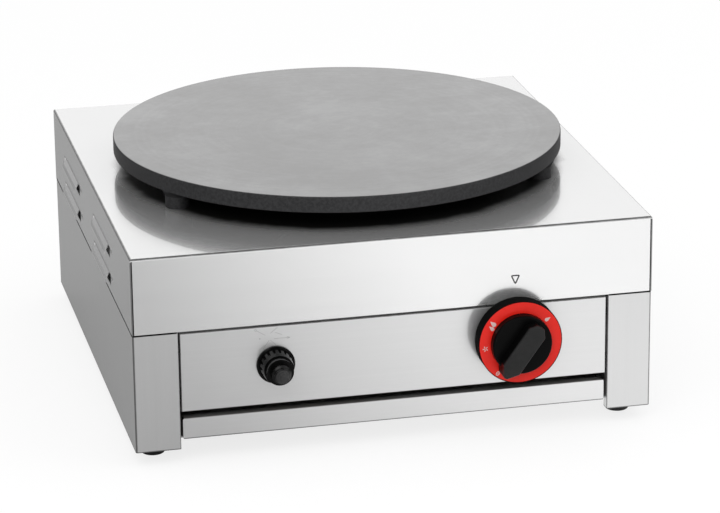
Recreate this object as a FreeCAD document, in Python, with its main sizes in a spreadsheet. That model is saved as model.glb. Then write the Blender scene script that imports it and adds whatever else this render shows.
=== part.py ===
import FreeCAD, Part
import math
import os
import re
import Sketcher
from FreeCAD import Placement, Rotation, Vector

# Gas crepe maker: a stainless housing on rubber feet carries one round cast plate on three
# legs, with a star burner under it. Millimetres, +X to the right of the user, +Y to the back,
# +Z up. The origin is on the floor, under the middle of the whole object.

# Driving dimensions
# Each row is the name, the value and what it measures.
SIZES = [
    ("body_width", 450, "housing, left to right"),
    ("body_depth", 450, "housing, front to back"),
    ("skirt_bottom", 13, "lower edge of the side panels above the floor"),
    ("seam_height", 117.5, "where the cover meets the lower housing"),
    ("cover_height", 67.5, "cover, from the seam to its top"),
    ("cover_sheet", 1, "sheet of the cover"),
    ("frame_sheet", 1.2, "sheet of the side panels"),
    ("panel_sheet", 1, "sheet of the control panel, rear panel and tray"),
    ("bend", 2, "outer radius of the visible bends"),
    ("flange", 14, "flanges folded inwards along the seam"),
    ("corner_slit", 0.9, "open slit where two skirts of the cover meet"),
    ("opening_radius", 145, "burner opening in the cover"),
    ("collar_height", 4, "collar round the burner opening, above the cover"),
    ("post_width", 38.7, "front face of each side panel"),
    ("post_return", 9, "flange folded back from the inner edge of a post"),
    ("rear_flange", 22, "flange of a side panel behind the rear panel"),
    ("panel_bottom", 46, "lower edge of the control panel above the floor"),
    ("panel_depth", 14, "control panel, front face to the back of its flanges"),
    ("panel_gap", 1.3, "open line between control panel and posts"),
    ("panel_top_gap", 1.8, "open line between control panel and cover"),
    ("panel_setback", 1, "control panel behind the front of the posts"),
    ("louvre_length", 76, "flap of a louvre"),
    ("louvre_height", 10, "flap of a louvre, top to lower edge"),
    ("louvre_bulge", 4, "flap of a louvre, outwards"),
    ("louvre_end", 8, "slot of a louvre in front of its flap"),
    ("louvre_inset", 119, "front end of the front pair of flaps, from the front of the housing"),
    ("louvre_pitch_along", 176, "front pair to rear pair"),
    ("louvre_low_edge", 124.7, "lower edge of the lower row"),
    ("louvre_pitch_up", 25, "lower row to upper row"),
    ("rear_panel_bottom", 30, "lower edge of the rear panel above the floor"),
    ("vent_length", 34, "slot of the rear panel"),
    ("vent_width", 4, "slot of the rear panel"),
    ("vent_pitch", 48, "slots of the rear panel, side by side"),
    ("vent_row_height", 56, "lower row of slots above the floor"),
    ("vent_row_pitch", 14, "rows of slots"),
    ("tray_side_gap", 2.3, "tray, side wall to post"),
    ("tray_setback", 2, "front strip of the tray behind the posts"),
    ("tray_back_gap", 48, "back wall of the tray, from the back of the housing"),
    ("tray_wall", 14, "side walls of the tray, over its underside"),
    ("tray_strip", 18.1, "front strip of the tray, over its underside"),
    ("tray_lip", 8, "lip folded back from the front strip"),
    ("tray_corner", 1.2, "rounded upper corners of the front strip"),
    ("runner_sheet", 1.5, "sheet of the tray runners"),
    ("runner_reach", 53, "runner, from the outer side of the housing inwards"),
    ("runner_setback", 10, "runner behind the front of the posts"),
    ("runner_rise", 26, "upright leg of a runner"),
    ("foot_height", 19.4, "rubber foot"),
    ("foot_radius", 12, "rubber foot at its top"),
    ("foot_base_radius", 10, "rubber foot at the floor"),
    ("foot_inset_side", 19.5, "foot centre from the side of the housing"),
    ("foot_inset_front", 33, "foot centre from the front or back of the housing"),
    ("foot_recess_radius", 5, "recess for the screw head under a foot"),
    ("foot_recess_depth", 9, "recess for the screw head under a foot"),
    ("plate_radius", 200, "cast plate"),
    ("plate_gap", 15.5, "free height between the cover and the edge of the plate"),
    ("plate_rim", 14.5, "edge of the cast plate, top to bottom"),
    ("plate_thickness", 9, "cast plate inside its rim"),
    ("plate_rim_width", 14, "thick rim of the cast plate"),
    ("rib_width", 5, "stiffening rib under the plate"),
    ("rib_depth", 4, "stiffening rib under the plate"),
    ("leg_circle", 187, "legs of the plate, from its centre"),
    ("leg_radius", 10.5, "leg of the plate at the cover"),
    ("leg_root_radius", 13, "leg of the plate at the rim"),
    ("bolt_radius", 4, "plate bolts, shank"),
    ("bolt_head", 13, "plate bolts, across the flats"),
    ("bolt_head_height", 5.3, "plate bolts"),
    ("bolt_reach", 14, "plate bolts, length inside the legs"),
    ("washer_radius", 8, "plate washers"),
    ("washer_thickness", 1.6, "plate washers"),
    ("rail_width", 20, "channel under the cover that carries the plate"),
    ("rail_depth", 18, "channel under the cover, top to bottom"),
    ("rail_sheet", 1.5, "sheet of the channels"),
    ("screw_radius", 2, "small screws, shank"),
    ("screw_head_radius", 3.6, "small screws, head"),
    ("screw_head_height", 2.4, "small screws, head"),
    ("screw_length", 10, "small screws, shank"),
    ("rear_screw_rise", 15, "lower screws of the rear panel, above its lower edge"),
    ("rear_screw_fall", 17, "upper screws of the rear panel, below the seam"),
    ("panel_screw_inset", 14, "screws of the control panel, from its upper and lower edge"),
    ("foot_nut", 7, "foot nuts, across the flats"),
    ("foot_nut_height", 3.2, "foot nuts"),
    ("clearance", 0.3, "free gap between pieces that do not touch"),
    ("fit", 0.05, "radial gap of a shaft or bolt in its hole"),
    ("arm_drop", 20, "axis of the burner arms below the top of the cover"),
    ("hub_over", 1.5, "burner hub over its arms"),
    ("hub_under", 2.5, "burner hub under its arms"),
    ("arm_radius", 9.5, "burner arm, outside"),
    ("arm_wall", 1.5, "burner arm"),
    ("arm_reach", 128, "burner arm, from the hub axis to its tip"),
    ("arm_count", 8, "burner arms"),
    ("hub_radius", 38, "burner hub"),
    ("hub_wall", 3, "burner hub"),
    ("boss_radius", 27, "lower chamber of the hub"),
    ("flame_slot", 1.4, "sawn slot across an arm"),
    ("flame_slot_pitch", 12, "sawn slots along an arm"),
    ("flame_slot_depth", 4.5, "sawn slot, down from the top of an arm"),
    ("bar_width", 26, "cross bar under the burner"),
    ("bar_sheet", 2, "cross bar under the burner"),
    ("bar_inset", 9, "upright ends of the cross bar, inside the burner opening"),
    ("tube_gap", 2, "mixing tube, free space over and under it in the lower chamber"),
    ("tube_radius", 12, "mixing tube, outside"),
    ("tube_wall", 1.5, "mixing tube"),
    ("tube_throat", 8, "mixing tube, narrowest inside"),
    ("tube_mouth", 17, "mixing tube, bell mouth"),
    ("throat_run", 34, "bell mouth to the narrowest place of the mixing tube"),
    ("flare_run", 12, "narrowest place of the mixing tube to its full width"),
    ("yoke_gap", 20, "bell mouth to the plate that holds the injector"),
    ("yoke_sheet", 2, "plate that holds the injector"),
    ("injector_collar", 3, "injector, hexagon to pipe socket"),
    ("injector_radius", 6, "injector, thread"),
    ("injector_hex", 16, "injector, across the flats"),
    ("injector_hex_length", 6, "injector, hexagon"),
    ("burner_pipe_radius", 4, "pipe from valve to injector"),
    ("supply_pipe_radius", 5, "pipe from gas inlet to valve"),
    ("pipe_wall", 1, "both gas pipes"),
    ("burner_pipe_bend", 12, "bends of the pipe to the injector"),
    ("burner_pipe_end", 2, "straight end of the pipe to the injector, outside its socket"),
    ("supply_pipe_bend", 20, "bend of the pipe from the gas inlet"),
    ("pipe_socket", 9, "depth that a pipe goes into its socket"),
    ("knob_inset", 81, "knob axis from the end of the control panel"),
    ("knob_height", 88.5, "knob axis above the floor"),
    ("knob_turn", 216, "pointer of the knob, degrees clockwise from the top"),
    ("ring_radius", 36.5, "dial ring of the knob, outside"),
    ("ring_hole", 26, "dial ring of the knob, inside"),
    ("ring_sheet", 1.2, "dial ring of the knob"),
    ("ring_front", 18.2, "front of the dial ring, before the posts"),
    ("knob_back", 5, "back edge of the knob skirt, before the posts"),
    ("knob_shell", 2, "wall of the knob skirt"),
    ("hub_front", 26, "front of the knob hub, before the posts"),
    ("grip_front", 38, "front of the knob grip, before the posts"),
    ("grip_width", 17, "knob grip"),
    ("grip_tip", 30.5, "knob grip, axis to pointer tip"),
    ("grip_tail", 22.5, "knob grip, axis to blunt end"),
    ("knob_boss", 8, "radius of the boss round the spindle"),
    ("spindle_radius", 4, "valve spindle"),
    ("tongue_width", 2.4, "tongue that drives the plug of the valve"),
    ("tongue_length", 4.5, "tongue that drives the plug of the valve, length in the plug"),
    ("push_travel", 3, "travel of the knob when it is pushed"),
    ("panel_hole", 6.5, "hole for the spindle in the control panel"),
    ("valve_front", 18, "front of the valve body behind the posts"),
    ("valve_length", 47, "valve body, front to back"),
    ("valve_radius", 16, "valve body"),
    ("valve_port_radius", 8, "side ports of the valve body"),
    ("valve_port_reach", 30, "side ports of the valve body, from its axis"),
    ("port_back", 17, "side ports behind the front of the valve body"),
    ("plug_front_radius", 8, "plug of the valve at its front"),
    ("plug_back_radius", 7, "plug of the valve at its back"),
    ("plug_length", 30, "plug of the valve"),
    ("plug_inset", 2, "plug of the valve, behind the front of its body"),
    ("bonnet_thickness", 5, "bonnet of the valve"),
    ("pusher_radius", 1.5, "push rod of the valve"),
    ("pusher_length", 42, "push rod of the valve"),
    ("magnet_radius", 10, "safety magnet at the back of the valve"),
    ("magnet_length", 35, "safety magnet at the back of the valve"),
    ("valve_screw_across", 11.5, "valve screws, each side of the spindle"),
    ("valve_screw_radius", 1.5, "valve screws, shank"),
    ("valve_screw_head", 2.8, "valve screws, head radius"),
    ("bracket_half_width", 20, "bracket of the valve, middle to web"),
    ("bracket_foot", 12, "bracket of the valve, foot on the panel"),
    ("bracket_height", 38, "bracket of the valve, bottom to top"),
    ("bracket_sheet", 1.5, "bracket of the valve"),
    ("inlet_inset", 50, "gas inlet from the right side of the housing"),
    ("inlet_radius", 10.5, "gas inlet, outer thread"),
    ("inlet_out", 38, "gas inlet, behind the rear panel"),
    ("inlet_in", 20, "gas inlet, in front of the rear panel"),
    ("inlet_neck", 9.5, "gas inlet, thread for the locknut"),
    ("inlet_hex", 27, "gas inlet, across the flats"),
    ("inlet_hex_thickness", 7, "gas inlet, outer hexagon"),
    ("locknut_thickness", 6, "locknut of the gas inlet"),
    ("lighter_inset", 81, "lighter axis from the end of the control panel"),
    ("lighter_height", 81.5, "lighter axis above the floor"),
    ("bezel_radius", 16.5, "flange of the lighter bezel"),
    ("bezel_flange", 3, "flange of the lighter bezel"),
    ("bezel_grip_radius", 14.6, "ribbed part of the bezel at its back"),
    ("bezel_grip_front_radius", 12.8, "ribbed part of the bezel at its front"),
    ("bezel_grip", 12, "ribbed part of the bezel, length"),
    ("bezel_collar_radius", 11.5, "plain collar of the bezel"),
    ("bezel_collar", 6, "plain collar of the bezel"),
    ("bezel_flute_count", 18, "flutes round the ribbed part"),
    ("bezel_flute", 1.3, "radius of a flute"),
    ("button_radius", 8.5, "lighter button in its bore"),
    ("button_nose_radius", 6.8, "lighter button, stepped nose"),
    ("button_out", 31, "front of the button, before the control panel"),
    ("button_step", 4, "lighter button, length of the nose"),
    ("button_groove", 0.8, "lighter button, width and depth of its grooves"),
    ("button_disc_radius", 3.4, "lighter button, round field in the middle of its nose"),
    ("button_in", 9, "back of the button, behind the control panel front"),
    ("button_travel", 6, "travel of the button"),
    ("barrel_radius", 10, "threaded barrel of the lighter"),
    ("barrel_length", 52, "barrel of the lighter"),
    ("barrel_nut", 27, "nut of the lighter, across the flats"),
    ("barrel_nut_thickness", 4, "nut of the lighter"),
    ("probe_across", 20, "electrode and thermocouple, each side of the middle"),
    ("probe_inset", 9, "bracket of the electrode, from the narrowing of the mixing tube"),
    ("probe_bracket_sheet", 1.5, "bracket of the electrode"),
    ("probe_bracket_depth", 12, "bracket of the electrode, front to back"),
    ("electrode_radius", 3.2, "ceramic of the spark electrode"),
    ("electrode_rise", 5, "top of the ceramic over the axis of the burner arms"),
    ("electrode_length", 36, "ceramic of the spark electrode"),
    ("thermocouple_radius", 2.5, "thermocouple"),
    ("thermocouple_rise", 11, "top of the thermocouple over the axis of the burner arms"),
    ("thermocouple_length", 36, "thermocouple"),
    ("lead_radius", 1.5, "spark lead"),
    ("capillary_radius", 1.2, "lead of the thermocouple"),
    ("lead_bend", 14, "bends of both leads"),
]

# Places worked out from the driving dimensions
DERIVED = {
    "side": "body_width / 2",
    "front": "-body_depth / 2",
    "back": "body_depth / 2",
    "cover_top": "seam_height + cover_height",
    "cover_under": "cover_top - cover_sheet",
    "post_in": "side - post_width",
    "panel_half": "post_in - panel_gap",
    "panel_top": "seam_height - panel_top_gap",
    "panel_front": "front + panel_setback",
    "panel_inside": "panel_front + panel_sheet",
    "rear_inside": "back - panel_sheet",
    "skirt_inside": "side - frame_sheet",
    "runner_top": "foot_height + runner_sheet",
    "tray_bottom": "runner_top + clearance",
    "tray_front": "front + tray_setback",
    "tray_back": "back - tray_back_gap",
    "tray_half_width": "post_in - tray_side_gap",
    "louvre_front": "front + louvre_inset",
    "knob_across": "panel_half - knob_inset",
    "lighter_across": "panel_half - lighter_inset",
    "inlet_across": "side - inlet_inset",
    "foot_across": "side - foot_inset_side",
    "foot_along": "back - foot_inset_front",
    "leg_across": "leg_circle * cos(30 * 1 deg)",
    "leg_along": "leg_circle / 2",
    "rim_bottom": "cover_top + plate_gap",
    "plate_top": "rim_bottom + plate_rim",
    "plate_under": "plate_top - plate_thickness",
    "rail_bottom": "cover_under - rail_depth",
    "bolt_hole": "bolt_radius + fit",
    "screw_hole": "screw_radius + fit",
    "screw_side": "side - flange / 2",
    "screw_along": "body_depth / 4",
    "rear_screw_across": "side - rear_flange / 2",
    "rear_screw_low": "rear_panel_bottom + rear_screw_rise",
    "rear_screw_high": "seam_height - rear_screw_fall",
    "panel_screw_low": "panel_bottom + panel_screw_inset",
    "panel_screw_high": "panel_top - panel_screw_inset",
    "panel_screw_along": "front + post_return - screw_head_radius - clearance",
    "arm_height": "cover_top - arm_drop",
    "arm_top": "arm_height + arm_radius",
    "hub_top": "arm_top + hub_over",
    "hub_bottom": "arm_height - arm_radius - hub_under",
    "tube_height": "hub_bottom - tube_radius - tube_gap",
    "boss_bottom": "tube_height - tube_radius - tube_gap - hub_wall",
    "bar_drop_at": "opening_radius - bar_inset",
    "injector_inlet": "-pipe_rise - burner_pipe_bend - burner_pipe_end",
    "injector_length": "injector_hex_length + injector_collar + pipe_socket",
    "yoke_place": "injector_inlet - injector_length - yoke_sheet",
    "mouth_place": "yoke_place - yoke_gap",
    "throat_place": "mouth_place - throat_run",
    "probe_place": "throat_place - flare_run - probe_inset - probe_bracket_depth / 2",
    "electrode_top": "arm_height + electrode_rise",
    "electrode_bottom": "electrode_top - electrode_length",
    "thermocouple_top": "arm_height + thermocouple_rise",
    "thermocouple_bottom": "thermocouple_top - thermocouple_length",
    "pipe_rise": "valve_face + port_back",
    "valve_face": "front + valve_front",
    "valve_back": "valve_face + valve_length",
    "bonnet_front": "valve_face - bonnet_thickness",
    "plug_front": "valve_face + plug_inset",
    "plug_back": "plug_front + plug_length",
    "tongue_end": "plug_front + tongue_length",
    "pusher_front": "tongue_end + clearance",
    "lighter_face": "panel_front",
    "bracket_top": "tube_height + tube_radius",
}

doc = FreeCAD.newDocument("crepe_maker")
sheet = doc.addObject("Spreadsheet::Sheet", "Sizes")
ALIASES = {name for name, _, _ in SIZES}
PLANES = {"X": "YZ_Plane", "Y": "XZ_Plane", "Z": "XY_Plane"}
pieces = []


def fill_sheet():
    """Write each driving dimension into its own named cell."""
    for row, (name, size, note) in enumerate(SIZES, start=1):
        sheet.set(f"A{row}", name)
        sheet.set(f"B{row}", str(size))
        sheet.set(f"C{row}", note)
        sheet.setAlias(f"B{row}", name)
    doc.recompute()


def full(text):
    """Turn short names into a whole expression on the sheet's cells."""
    def swap(match):
        word = match.group(0)
        if word in DERIVED:
            return "(" + full(DERIVED[word]) + ")"
        if word in ALIASES:
            return "Sizes." + word
        return word
    return re.sub(r"[A-Za-z_][A-Za-z_0-9]*", swap, str(text))


def value(text):
    """The number that an expression has now."""
    return float(sheet.evalExpression(full(text)))


def spot(across, along, up):
    """A point from three expressions."""
    return Vector(value(across), value(along), value(up))


# Bodies and sketches

def new_body(label, across="0", along="0", up="0"):
    """An empty body whose placement is tied to the sheet."""
    body = doc.addObject("PartDesign::Body", label)
    body.Label = label
    for letter, text in zip("xyz", (across, along, up)):
        if text != "0":
            body.setExpression(f"Placement.Base.{letter}", full(text))
    pieces.append(body)
    return body


def new_sketch(body, axis, place="0"):
    """A sketch across an axis, at a place along it."""
    role = PLANES[axis]
    plane = next(item for item in body.Origin.OriginFeatures if item.Role == role)
    sketch = body.newObject("Sketcher::SketchObject", body.Label + "_sketch")
    sketch.AttachmentSupport = [(plane, "")]
    sketch.MapMode = "FlatFace"
    # The XZ plane faces the front, so its offset counts backwards.
    sign = "-" if axis == "Y" else ""
    sketch.setExpression("AttachmentOffset.Base.z", f"{sign}({full(place)})")
    return sketch


def tie(sketch, geometry, point, letter, text):
    """Hold one point of a sketch at a distance from the sketch's origin."""
    rule = Sketcher.Constraint("Distance" + letter, -1, 1, geometry, point, value(text))
    index = sketch.addConstraint(rule)
    sketch.setExpression(f"Constraints[{index}]", full(text))


def loop(*points):
    """A closed outline of straight lines."""
    def draw(sketch):
        spots = [Vector(value(first), value(second), 0) for first, second in points]
        start = sketch.GeometryCount
        for index, corner in enumerate(spots):
            following = spots[(index + 1) % len(spots)]
            sketch.addGeometry(Part.LineSegment(corner, following), False)
        for index, (first, second) in enumerate(points):
            following = start + (index + 1) % len(points)
            sketch.addConstraint(Sketcher.Constraint("Coincident", start + index, 2, following, 1))
            tie(sketch, start + index, 1, "X", first)
            tie(sketch, start + index, 1, "Y", second)
    return draw


def box(low_first, low_second, high_first, high_second):
    """A rectangle between two corners."""
    return loop((low_first, low_second), (high_first, low_second),
                (high_first, high_second), (low_first, high_second))


def disc(first, second, radius):
    """A circle."""
    def draw(sketch):
        centre = Vector(value(first), value(second), 0)
        index = sketch.addGeometry(Part.Circle(centre, Vector(0, 0, 1), value(radius)), False)
        tie(sketch, index, 3, "X", first)
        tie(sketch, index, 3, "Y", second)
        number = sketch.addConstraint(Sketcher.Constraint("Radius", index, value(radius)))
        sketch.setExpression(f"Constraints[{number}]", full(radius))
    return draw


def hexagon(first, second, across_flats):
    """A regular hexagon with a flat at each side."""
    reach = f"({across_flats}) / sqrt(3)"
    corners = [(f"{first} + {reach} * cos({turn} * 1 deg)", f"{second} + {reach} * sin({turn} * 1 deg)")
               for turn in range(30, 390, 60)]
    return loop(*corners)


def extrude(body, kind, axis, low, high, drawings):
    """Pad or pocket drawings between two places along an axis."""
    # A pad grows along the sketch's normal and a pocket cuts against it.
    forwards = (kind == "Pad") != (axis == "Y")
    sketch = new_sketch(body, axis, low if forwards else high)
    for draw in drawings:
        draw(sketch)
    feature = body.newObject("PartDesign::" + kind, body.Label + "_" + kind.lower())
    feature.Profile = sketch
    feature.setExpression("Length", full(f"({high}) - ({low})"))
    body.Tip = feature
    return feature


def pad(body, axis, low, high, *drawings):
    """Add material between two places along an axis."""
    return extrude(body, "Pad", axis, low, high, drawings)


def pocket(body, axis, low, high, *drawings):
    """Cut material between two places along an axis, and check that something was cut."""
    doc.recompute()
    before = body.Tip.Shape.Volume
    feature = extrude(body, "Pocket", axis, low, high, drawings)
    doc.recompute()
    if not feature.Shape.Volume < before:
        raise ValueError(body.Label + ": a pocket cuts nothing")
    return feature


def turn(body, axis, *points, kind="Revolution"):
    """Turn an outline of (radius, place) points about the body's own axis."""
    sketch = new_sketch(body, "Z" if axis == "Y" else "Y")
    loop(*points)(sketch)
    feature = body.newObject("PartDesign::" + kind, body.Label + "_turned")
    feature.Profile = sketch
    feature.ReferenceAxis = (sketch, ["V_Axis"])
    feature.Angle = 360
    body.Tip = feature
    return feature


def groove(body, axis, *points):
    """Turn an outline about the body's own axis and take it away."""
    doc.recompute()
    before = body.Tip.Shape.Volume
    feature = turn(body, axis, *points, kind="Groove")
    doc.recompute()
    if not feature.Shape.Volume < before:
        raise ValueError(body.Label + ": a groove cuts nothing")
    return feature


def around(body, count, *features, axis="Z"):
    """Repeat features evenly round the body's own axis."""
    pattern = body.newObject("PartDesign::PolarPattern", body.Label + "_round")
    pattern.Originals = list(features)
    line = next(item for item in body.Origin.OriginFeatures if item.Role == axis + "_Axis")
    pattern.Axis = (line, [""])
    pattern.Angle = 360
    pattern.setExpression("Occurrences", full(count))
    body.Tip = pattern
    doc.recompute()
    return pattern


def at(**places):
    """A test that picks the edges lying wholly at the given places."""
    wanted = {letter.upper(): value(text) for letter, text in places.items()}

    def test(edge):
        limits = edge.BoundBox
        return all(abs(getattr(limits, letter + end) - place) < 0.01
                   for letter, place in wanted.items() for end in ("Min", "Max"))
    return test


def finish(body, kind, size, *tests):
    """Fillet or chamfer the edges that any of the tests picks."""
    doc.recompute()
    base = body.Tip
    names = [f"Edge{number}" for number, edge in enumerate(base.Shape.Edges, start=1)
             if any(test(edge) for test in tests)]
    if not names:
        raise ValueError(body.Label + ": no edge to finish")
    feature = body.newObject("PartDesign::" + kind, body.Label + "_" + kind.lower())
    feature.Base = (base, names)
    feature.setExpression("Radius" if kind == "Fillet" else "Size", full(size))
    body.Tip = feature
    return feature


def round_off(body, size, *tests):
    """Round edges."""
    return finish(body, "Fillet", size, *tests)


def bevel(body, size, *tests):
    """Chamfer edges."""
    return finish(body, "Chamfer", size, *tests)


# Housing

def make_top_cover():
    """A pan of sheet with open corner slits, a collared burner opening and four louvres."""
    body = new_body("top_cover")
    pad(body, "Z", "seam_height", "cover_top", box("-side", "front", "side", "back"))
    round_off(body, "bend", at(x="-side", z="cover_top"), at(x="side", z="cover_top"),
              at(y="front", z="cover_top"), at(y="back", z="cover_top"))
    inner_side = "side - cover_sheet"
    inner_front = "front + cover_sheet"
    pocket(body, "Z", "seam_height", "cover_under",
           box(f"-({inner_side})", inner_front, inner_side, f"-({inner_front})"))
    add_cover_flanges(body)
    round_off(body, "cover_sheet * 0.7", at(x="-side", z="seam_height"), at(x="side", z="seam_height"),
              at(y="front", z="seam_height"), at(y="back", z="seam_height"))
    cut_corner_slits(body)
    pad(body, "Z", "cover_under", "cover_top + collar_height", disc("0", "0", "opening_radius + cover_sheet"))
    pocket(body, "Z", "cover_under", "cover_top + collar_height", disc("0", "0", "opening_radius"))
    add_louvres(body)
    pocket(body, "Z", "cover_under", "cover_top",
           *[disc(across, along, "bolt_hole + clearance") for across, along in LEG_PLACES])
    pocket(body, "Z", "seam_height", "seam_height + cover_sheet",
           *[disc(across, along, "screw_hole") for across, along in COVER_SCREW_PLACES])


def add_cover_flanges(body):
    """Four flanges folded inwards at the seam, mitred at the corners."""
    for sign in ("", "-"):
        outer = f"{sign}(side)"
        inner = f"{sign}(side - flange)"
        wide = "back - corner_slit"
        narrow = "back - flange - corner_slit"
        pad(body, "Z", "seam_height", "seam_height + cover_sheet",
            loop((outer, f"-({wide})"), (outer, wide), (inner, narrow), (inner, f"-({narrow})")))
        outer = f"{sign}(back)"
        inner = f"{sign}(back - flange)"
        wide = "side - 2 * corner_slit"
        narrow = "side - flange - 2 * corner_slit"
        pad(body, "Z", "seam_height", "seam_height + cover_sheet",
            loop((f"-({wide})", outer), (wide, outer), (narrow, inner), (f"-({narrow})", inner)))


def cut_corner_slits(body):
    """The front and rear skirts stop short of the side skirts."""
    drawings = []
    for side_sign in ("", "-"):
        for end_sign in ("", "-"):
            drawings.append(box(f"{side_sign}(side - cover_sheet)", f"{end_sign}(back)",
                                f"{side_sign}(side - cover_sheet - corner_slit)",
                                f"{end_sign}(back - cover_sheet)"))
    pocket(body, "Z", "seam_height", "cover_top - bend", *drawings)


def add_louvres(body):
    """Two rows of two pressed flaps on each side, hinged along their upper edges."""
    lows = ["louvre_low_edge", "louvre_low_edge + louvre_pitch_up"]
    fronts = ["louvre_front", "louvre_front + louvre_pitch_along"]
    slots = [box(f"{front} - louvre_end", low, f"{front} + louvre_length", f"{low} + louvre_height")
             for low in lows for front in fronts]
    pocket(body, "X", "-side", "side", *slots)
    for front in fronts:
        flaps = []
        for low in lows:
            for sign in ("", "-"):
                section = [("side", f"{low} + louvre_height"),
                           ("side + louvre_bulge * 0.72", f"{low} + louvre_height * 0.62"),
                           ("side + louvre_bulge", f"{low} + louvre_height * 0.3"),
                           ("side + louvre_bulge * 0.86", low),
                           ("side + louvre_bulge * 0.86 - cover_sheet", low),
                           ("side + louvre_bulge - cover_sheet", f"{low} + louvre_height * 0.3"),
                           ("side + louvre_bulge * 0.72 - cover_sheet", f"{low} + louvre_height * 0.55"),
                           ("side - cover_sheet", f"{low} + louvre_height")]
                flaps.append(loop(*[(f"{sign}({across})", up) for across, up in section]))
        pad(body, "Y", front, f"{front} + louvre_length", *flaps)


def make_side_panel(label, sign):
    """A side wall folded round the front as a post, with flanges at the seam and the back."""
    body = new_body(label)
    outline = [("post_in", "front"), ("side", "front"), ("side", "rear_inside"),
               ("side - rear_flange", "rear_inside"), ("side - rear_flange", "rear_inside - frame_sheet"),
               ("skirt_inside", "rear_inside - frame_sheet"), ("skirt_inside", "front + frame_sheet"),
               ("post_in + frame_sheet", "front + frame_sheet"),
               ("post_in + frame_sheet", "front + post_return"), ("post_in", "front + post_return")]
    pad(body, "Z", "skirt_bottom", "seam_height",
        loop(*[(f"{sign}({across})", along) for across, along in outline]))
    side = f"{sign}(side)"
    skirt = f"{sign}(skirt_inside)"
    post = f"{sign}(post_in)"
    round_off(body, "bend", at(x=side, y="front"), at(x=side, y="rear_inside"))
    round_off(body, "bend - frame_sheet", at(x=skirt, y="front + frame_sheet"),
              at(x=skirt, y="rear_inside - frame_sheet"))
    round_off(body, "frame_sheet * 0.8", at(x=post, y="front"))
    pad(body, "Z", "seam_height - frame_sheet", "seam_height",
        box(side, "front + bend", f"{sign}(side - flange)", "rear_inside - bend"))
    round_off(body, "frame_sheet * 0.7", at(x=side, z="seam_height"))
    screws = [place for place in COVER_SCREW_PLACES if place[0] == f"{sign}(screw_side)"]
    pocket(body, "Z", "seam_height - frame_sheet", "seam_height",
           *[disc(across, along, "screw_hole") for across, along in screws])
    pocket(body, "Y", "rear_inside - frame_sheet", "rear_inside",
           *[disc(f"{sign}(rear_screw_across)", up, "screw_hole") for up in REAR_SCREW_HEIGHTS])
    pocket(body, "X", f"{sign}(post_in)" if sign == "" else "-(post_in + frame_sheet)",
           "post_in + frame_sheet" if sign == "" else "-(post_in)",
           *[disc("panel_screw_along", up, "screw_hole") for up in PANEL_SCREW_HEIGHTS])


def make_control_panel():
    """A shallow tray of sheet, open to the back, with holes for lighter and spindle."""
    body = new_body("control_panel")
    pad(body, "Y", "panel_front", "panel_front + panel_depth",
        box("-panel_half", "panel_bottom", "panel_half", "panel_top"))
    round_off(body, "panel_sheet * 0.8", at(y="panel_front"))
    pocket(body, "Y", "panel_inside", "panel_front + panel_depth",
           box("-(panel_half - panel_sheet)", "panel_bottom + panel_sheet",
               "panel_half - panel_sheet", "panel_top - panel_sheet"))
    pocket(body, "Y", "panel_front", "panel_inside", disc("knob_across", "knob_height", "panel_hole"),
           disc("-lighter_across", "lighter_height", "barrel_radius + clearance"))
    pocket(body, "X", "-panel_half", "panel_half",
           *[disc("panel_screw_along", up, "screw_hole") for up in PANEL_SCREW_HEIGHTS])


def make_rear_panel():
    """A flat sheet with a flange at the seam, vent slots and the hole for the gas inlet."""
    body = new_body("rear_panel")
    pad(body, "Y", "rear_inside", "back",
        box("-(side - bend)", "rear_panel_bottom", "side - bend", "seam_height"))
    flange_end = "side - rear_flange - clearance"
    pad(body, "Z", "seam_height - panel_sheet", "seam_height",
        box(f"-({flange_end})", "back - flange", flange_end, "back"))
    round_off(body, "panel_sheet * 0.8", at(y="back", z="seam_height"))
    slots = []
    for column in range(-2, 3):
        for row in range(2):
            middle = f"{column} * vent_pitch - vent_pitch * 0.4"
            low = f"vent_row_height + {row} * vent_row_pitch"
            slots.append(box(f"{middle} - vent_length / 2", low, f"{middle} + vent_length / 2",
                             f"{low} + vent_width"))
    pocket(body, "Y", "rear_inside", "back", *slots)
    pocket(body, "Y", "rear_inside", "back", disc("inlet_across", "knob_height", "inlet_neck + clearance"))
    pocket(body, "Y", "rear_inside", "back",
           *[disc(f"{sign}(rear_screw_across)", up, "screw_hole")
             for sign in ("", "-") for up in REAR_SCREW_HEIGHTS])
    rear_places = [place for place in COVER_SCREW_PLACES if place[1] == "back - flange / 2"]
    pocket(body, "Z", "seam_height - panel_sheet", "seam_height",
           *[disc(across, along, "screw_hole") for across, along in rear_places])


def make_drip_tray():
    """A shallow pan whose front wall is the strip under the slot, with a lip to pull it by."""
    body = new_body("drip_tray")
    wide = "tray_half_width"
    pad(body, "Z", "tray_bottom", "tray_bottom + tray_wall",
        box(f"-{wide}", "tray_front", wide, "tray_back"))
    round_off(body, "panel_sheet", at(x=f"-{wide}", z="tray_bottom"), at(x=wide, z="tray_bottom"))
    pocket(body, "Z", "tray_bottom + panel_sheet", "tray_bottom + tray_wall",
           box(f"-({wide} - panel_sheet)", "tray_front + panel_sheet",
               f"{wide} - panel_sheet", "tray_back - panel_sheet"))
    pad(body, "Y", "tray_front", "tray_front + panel_sheet",
        box(f"-{wide}", "tray_bottom + panel_sheet", wide, "tray_bottom + tray_strip"))
    round_off(body, "tray_corner", at(x=f"-{wide}", z="tray_bottom + tray_strip"),
              at(x=wide, z="tray_bottom + tray_strip"))
    lip = f"{wide} - tray_corner"
    pad(body, "Z", "tray_bottom + tray_strip - panel_sheet", "tray_bottom + tray_strip",
        box(f"-({lip})", "tray_front", lip, "tray_front + tray_lip"))


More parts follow.
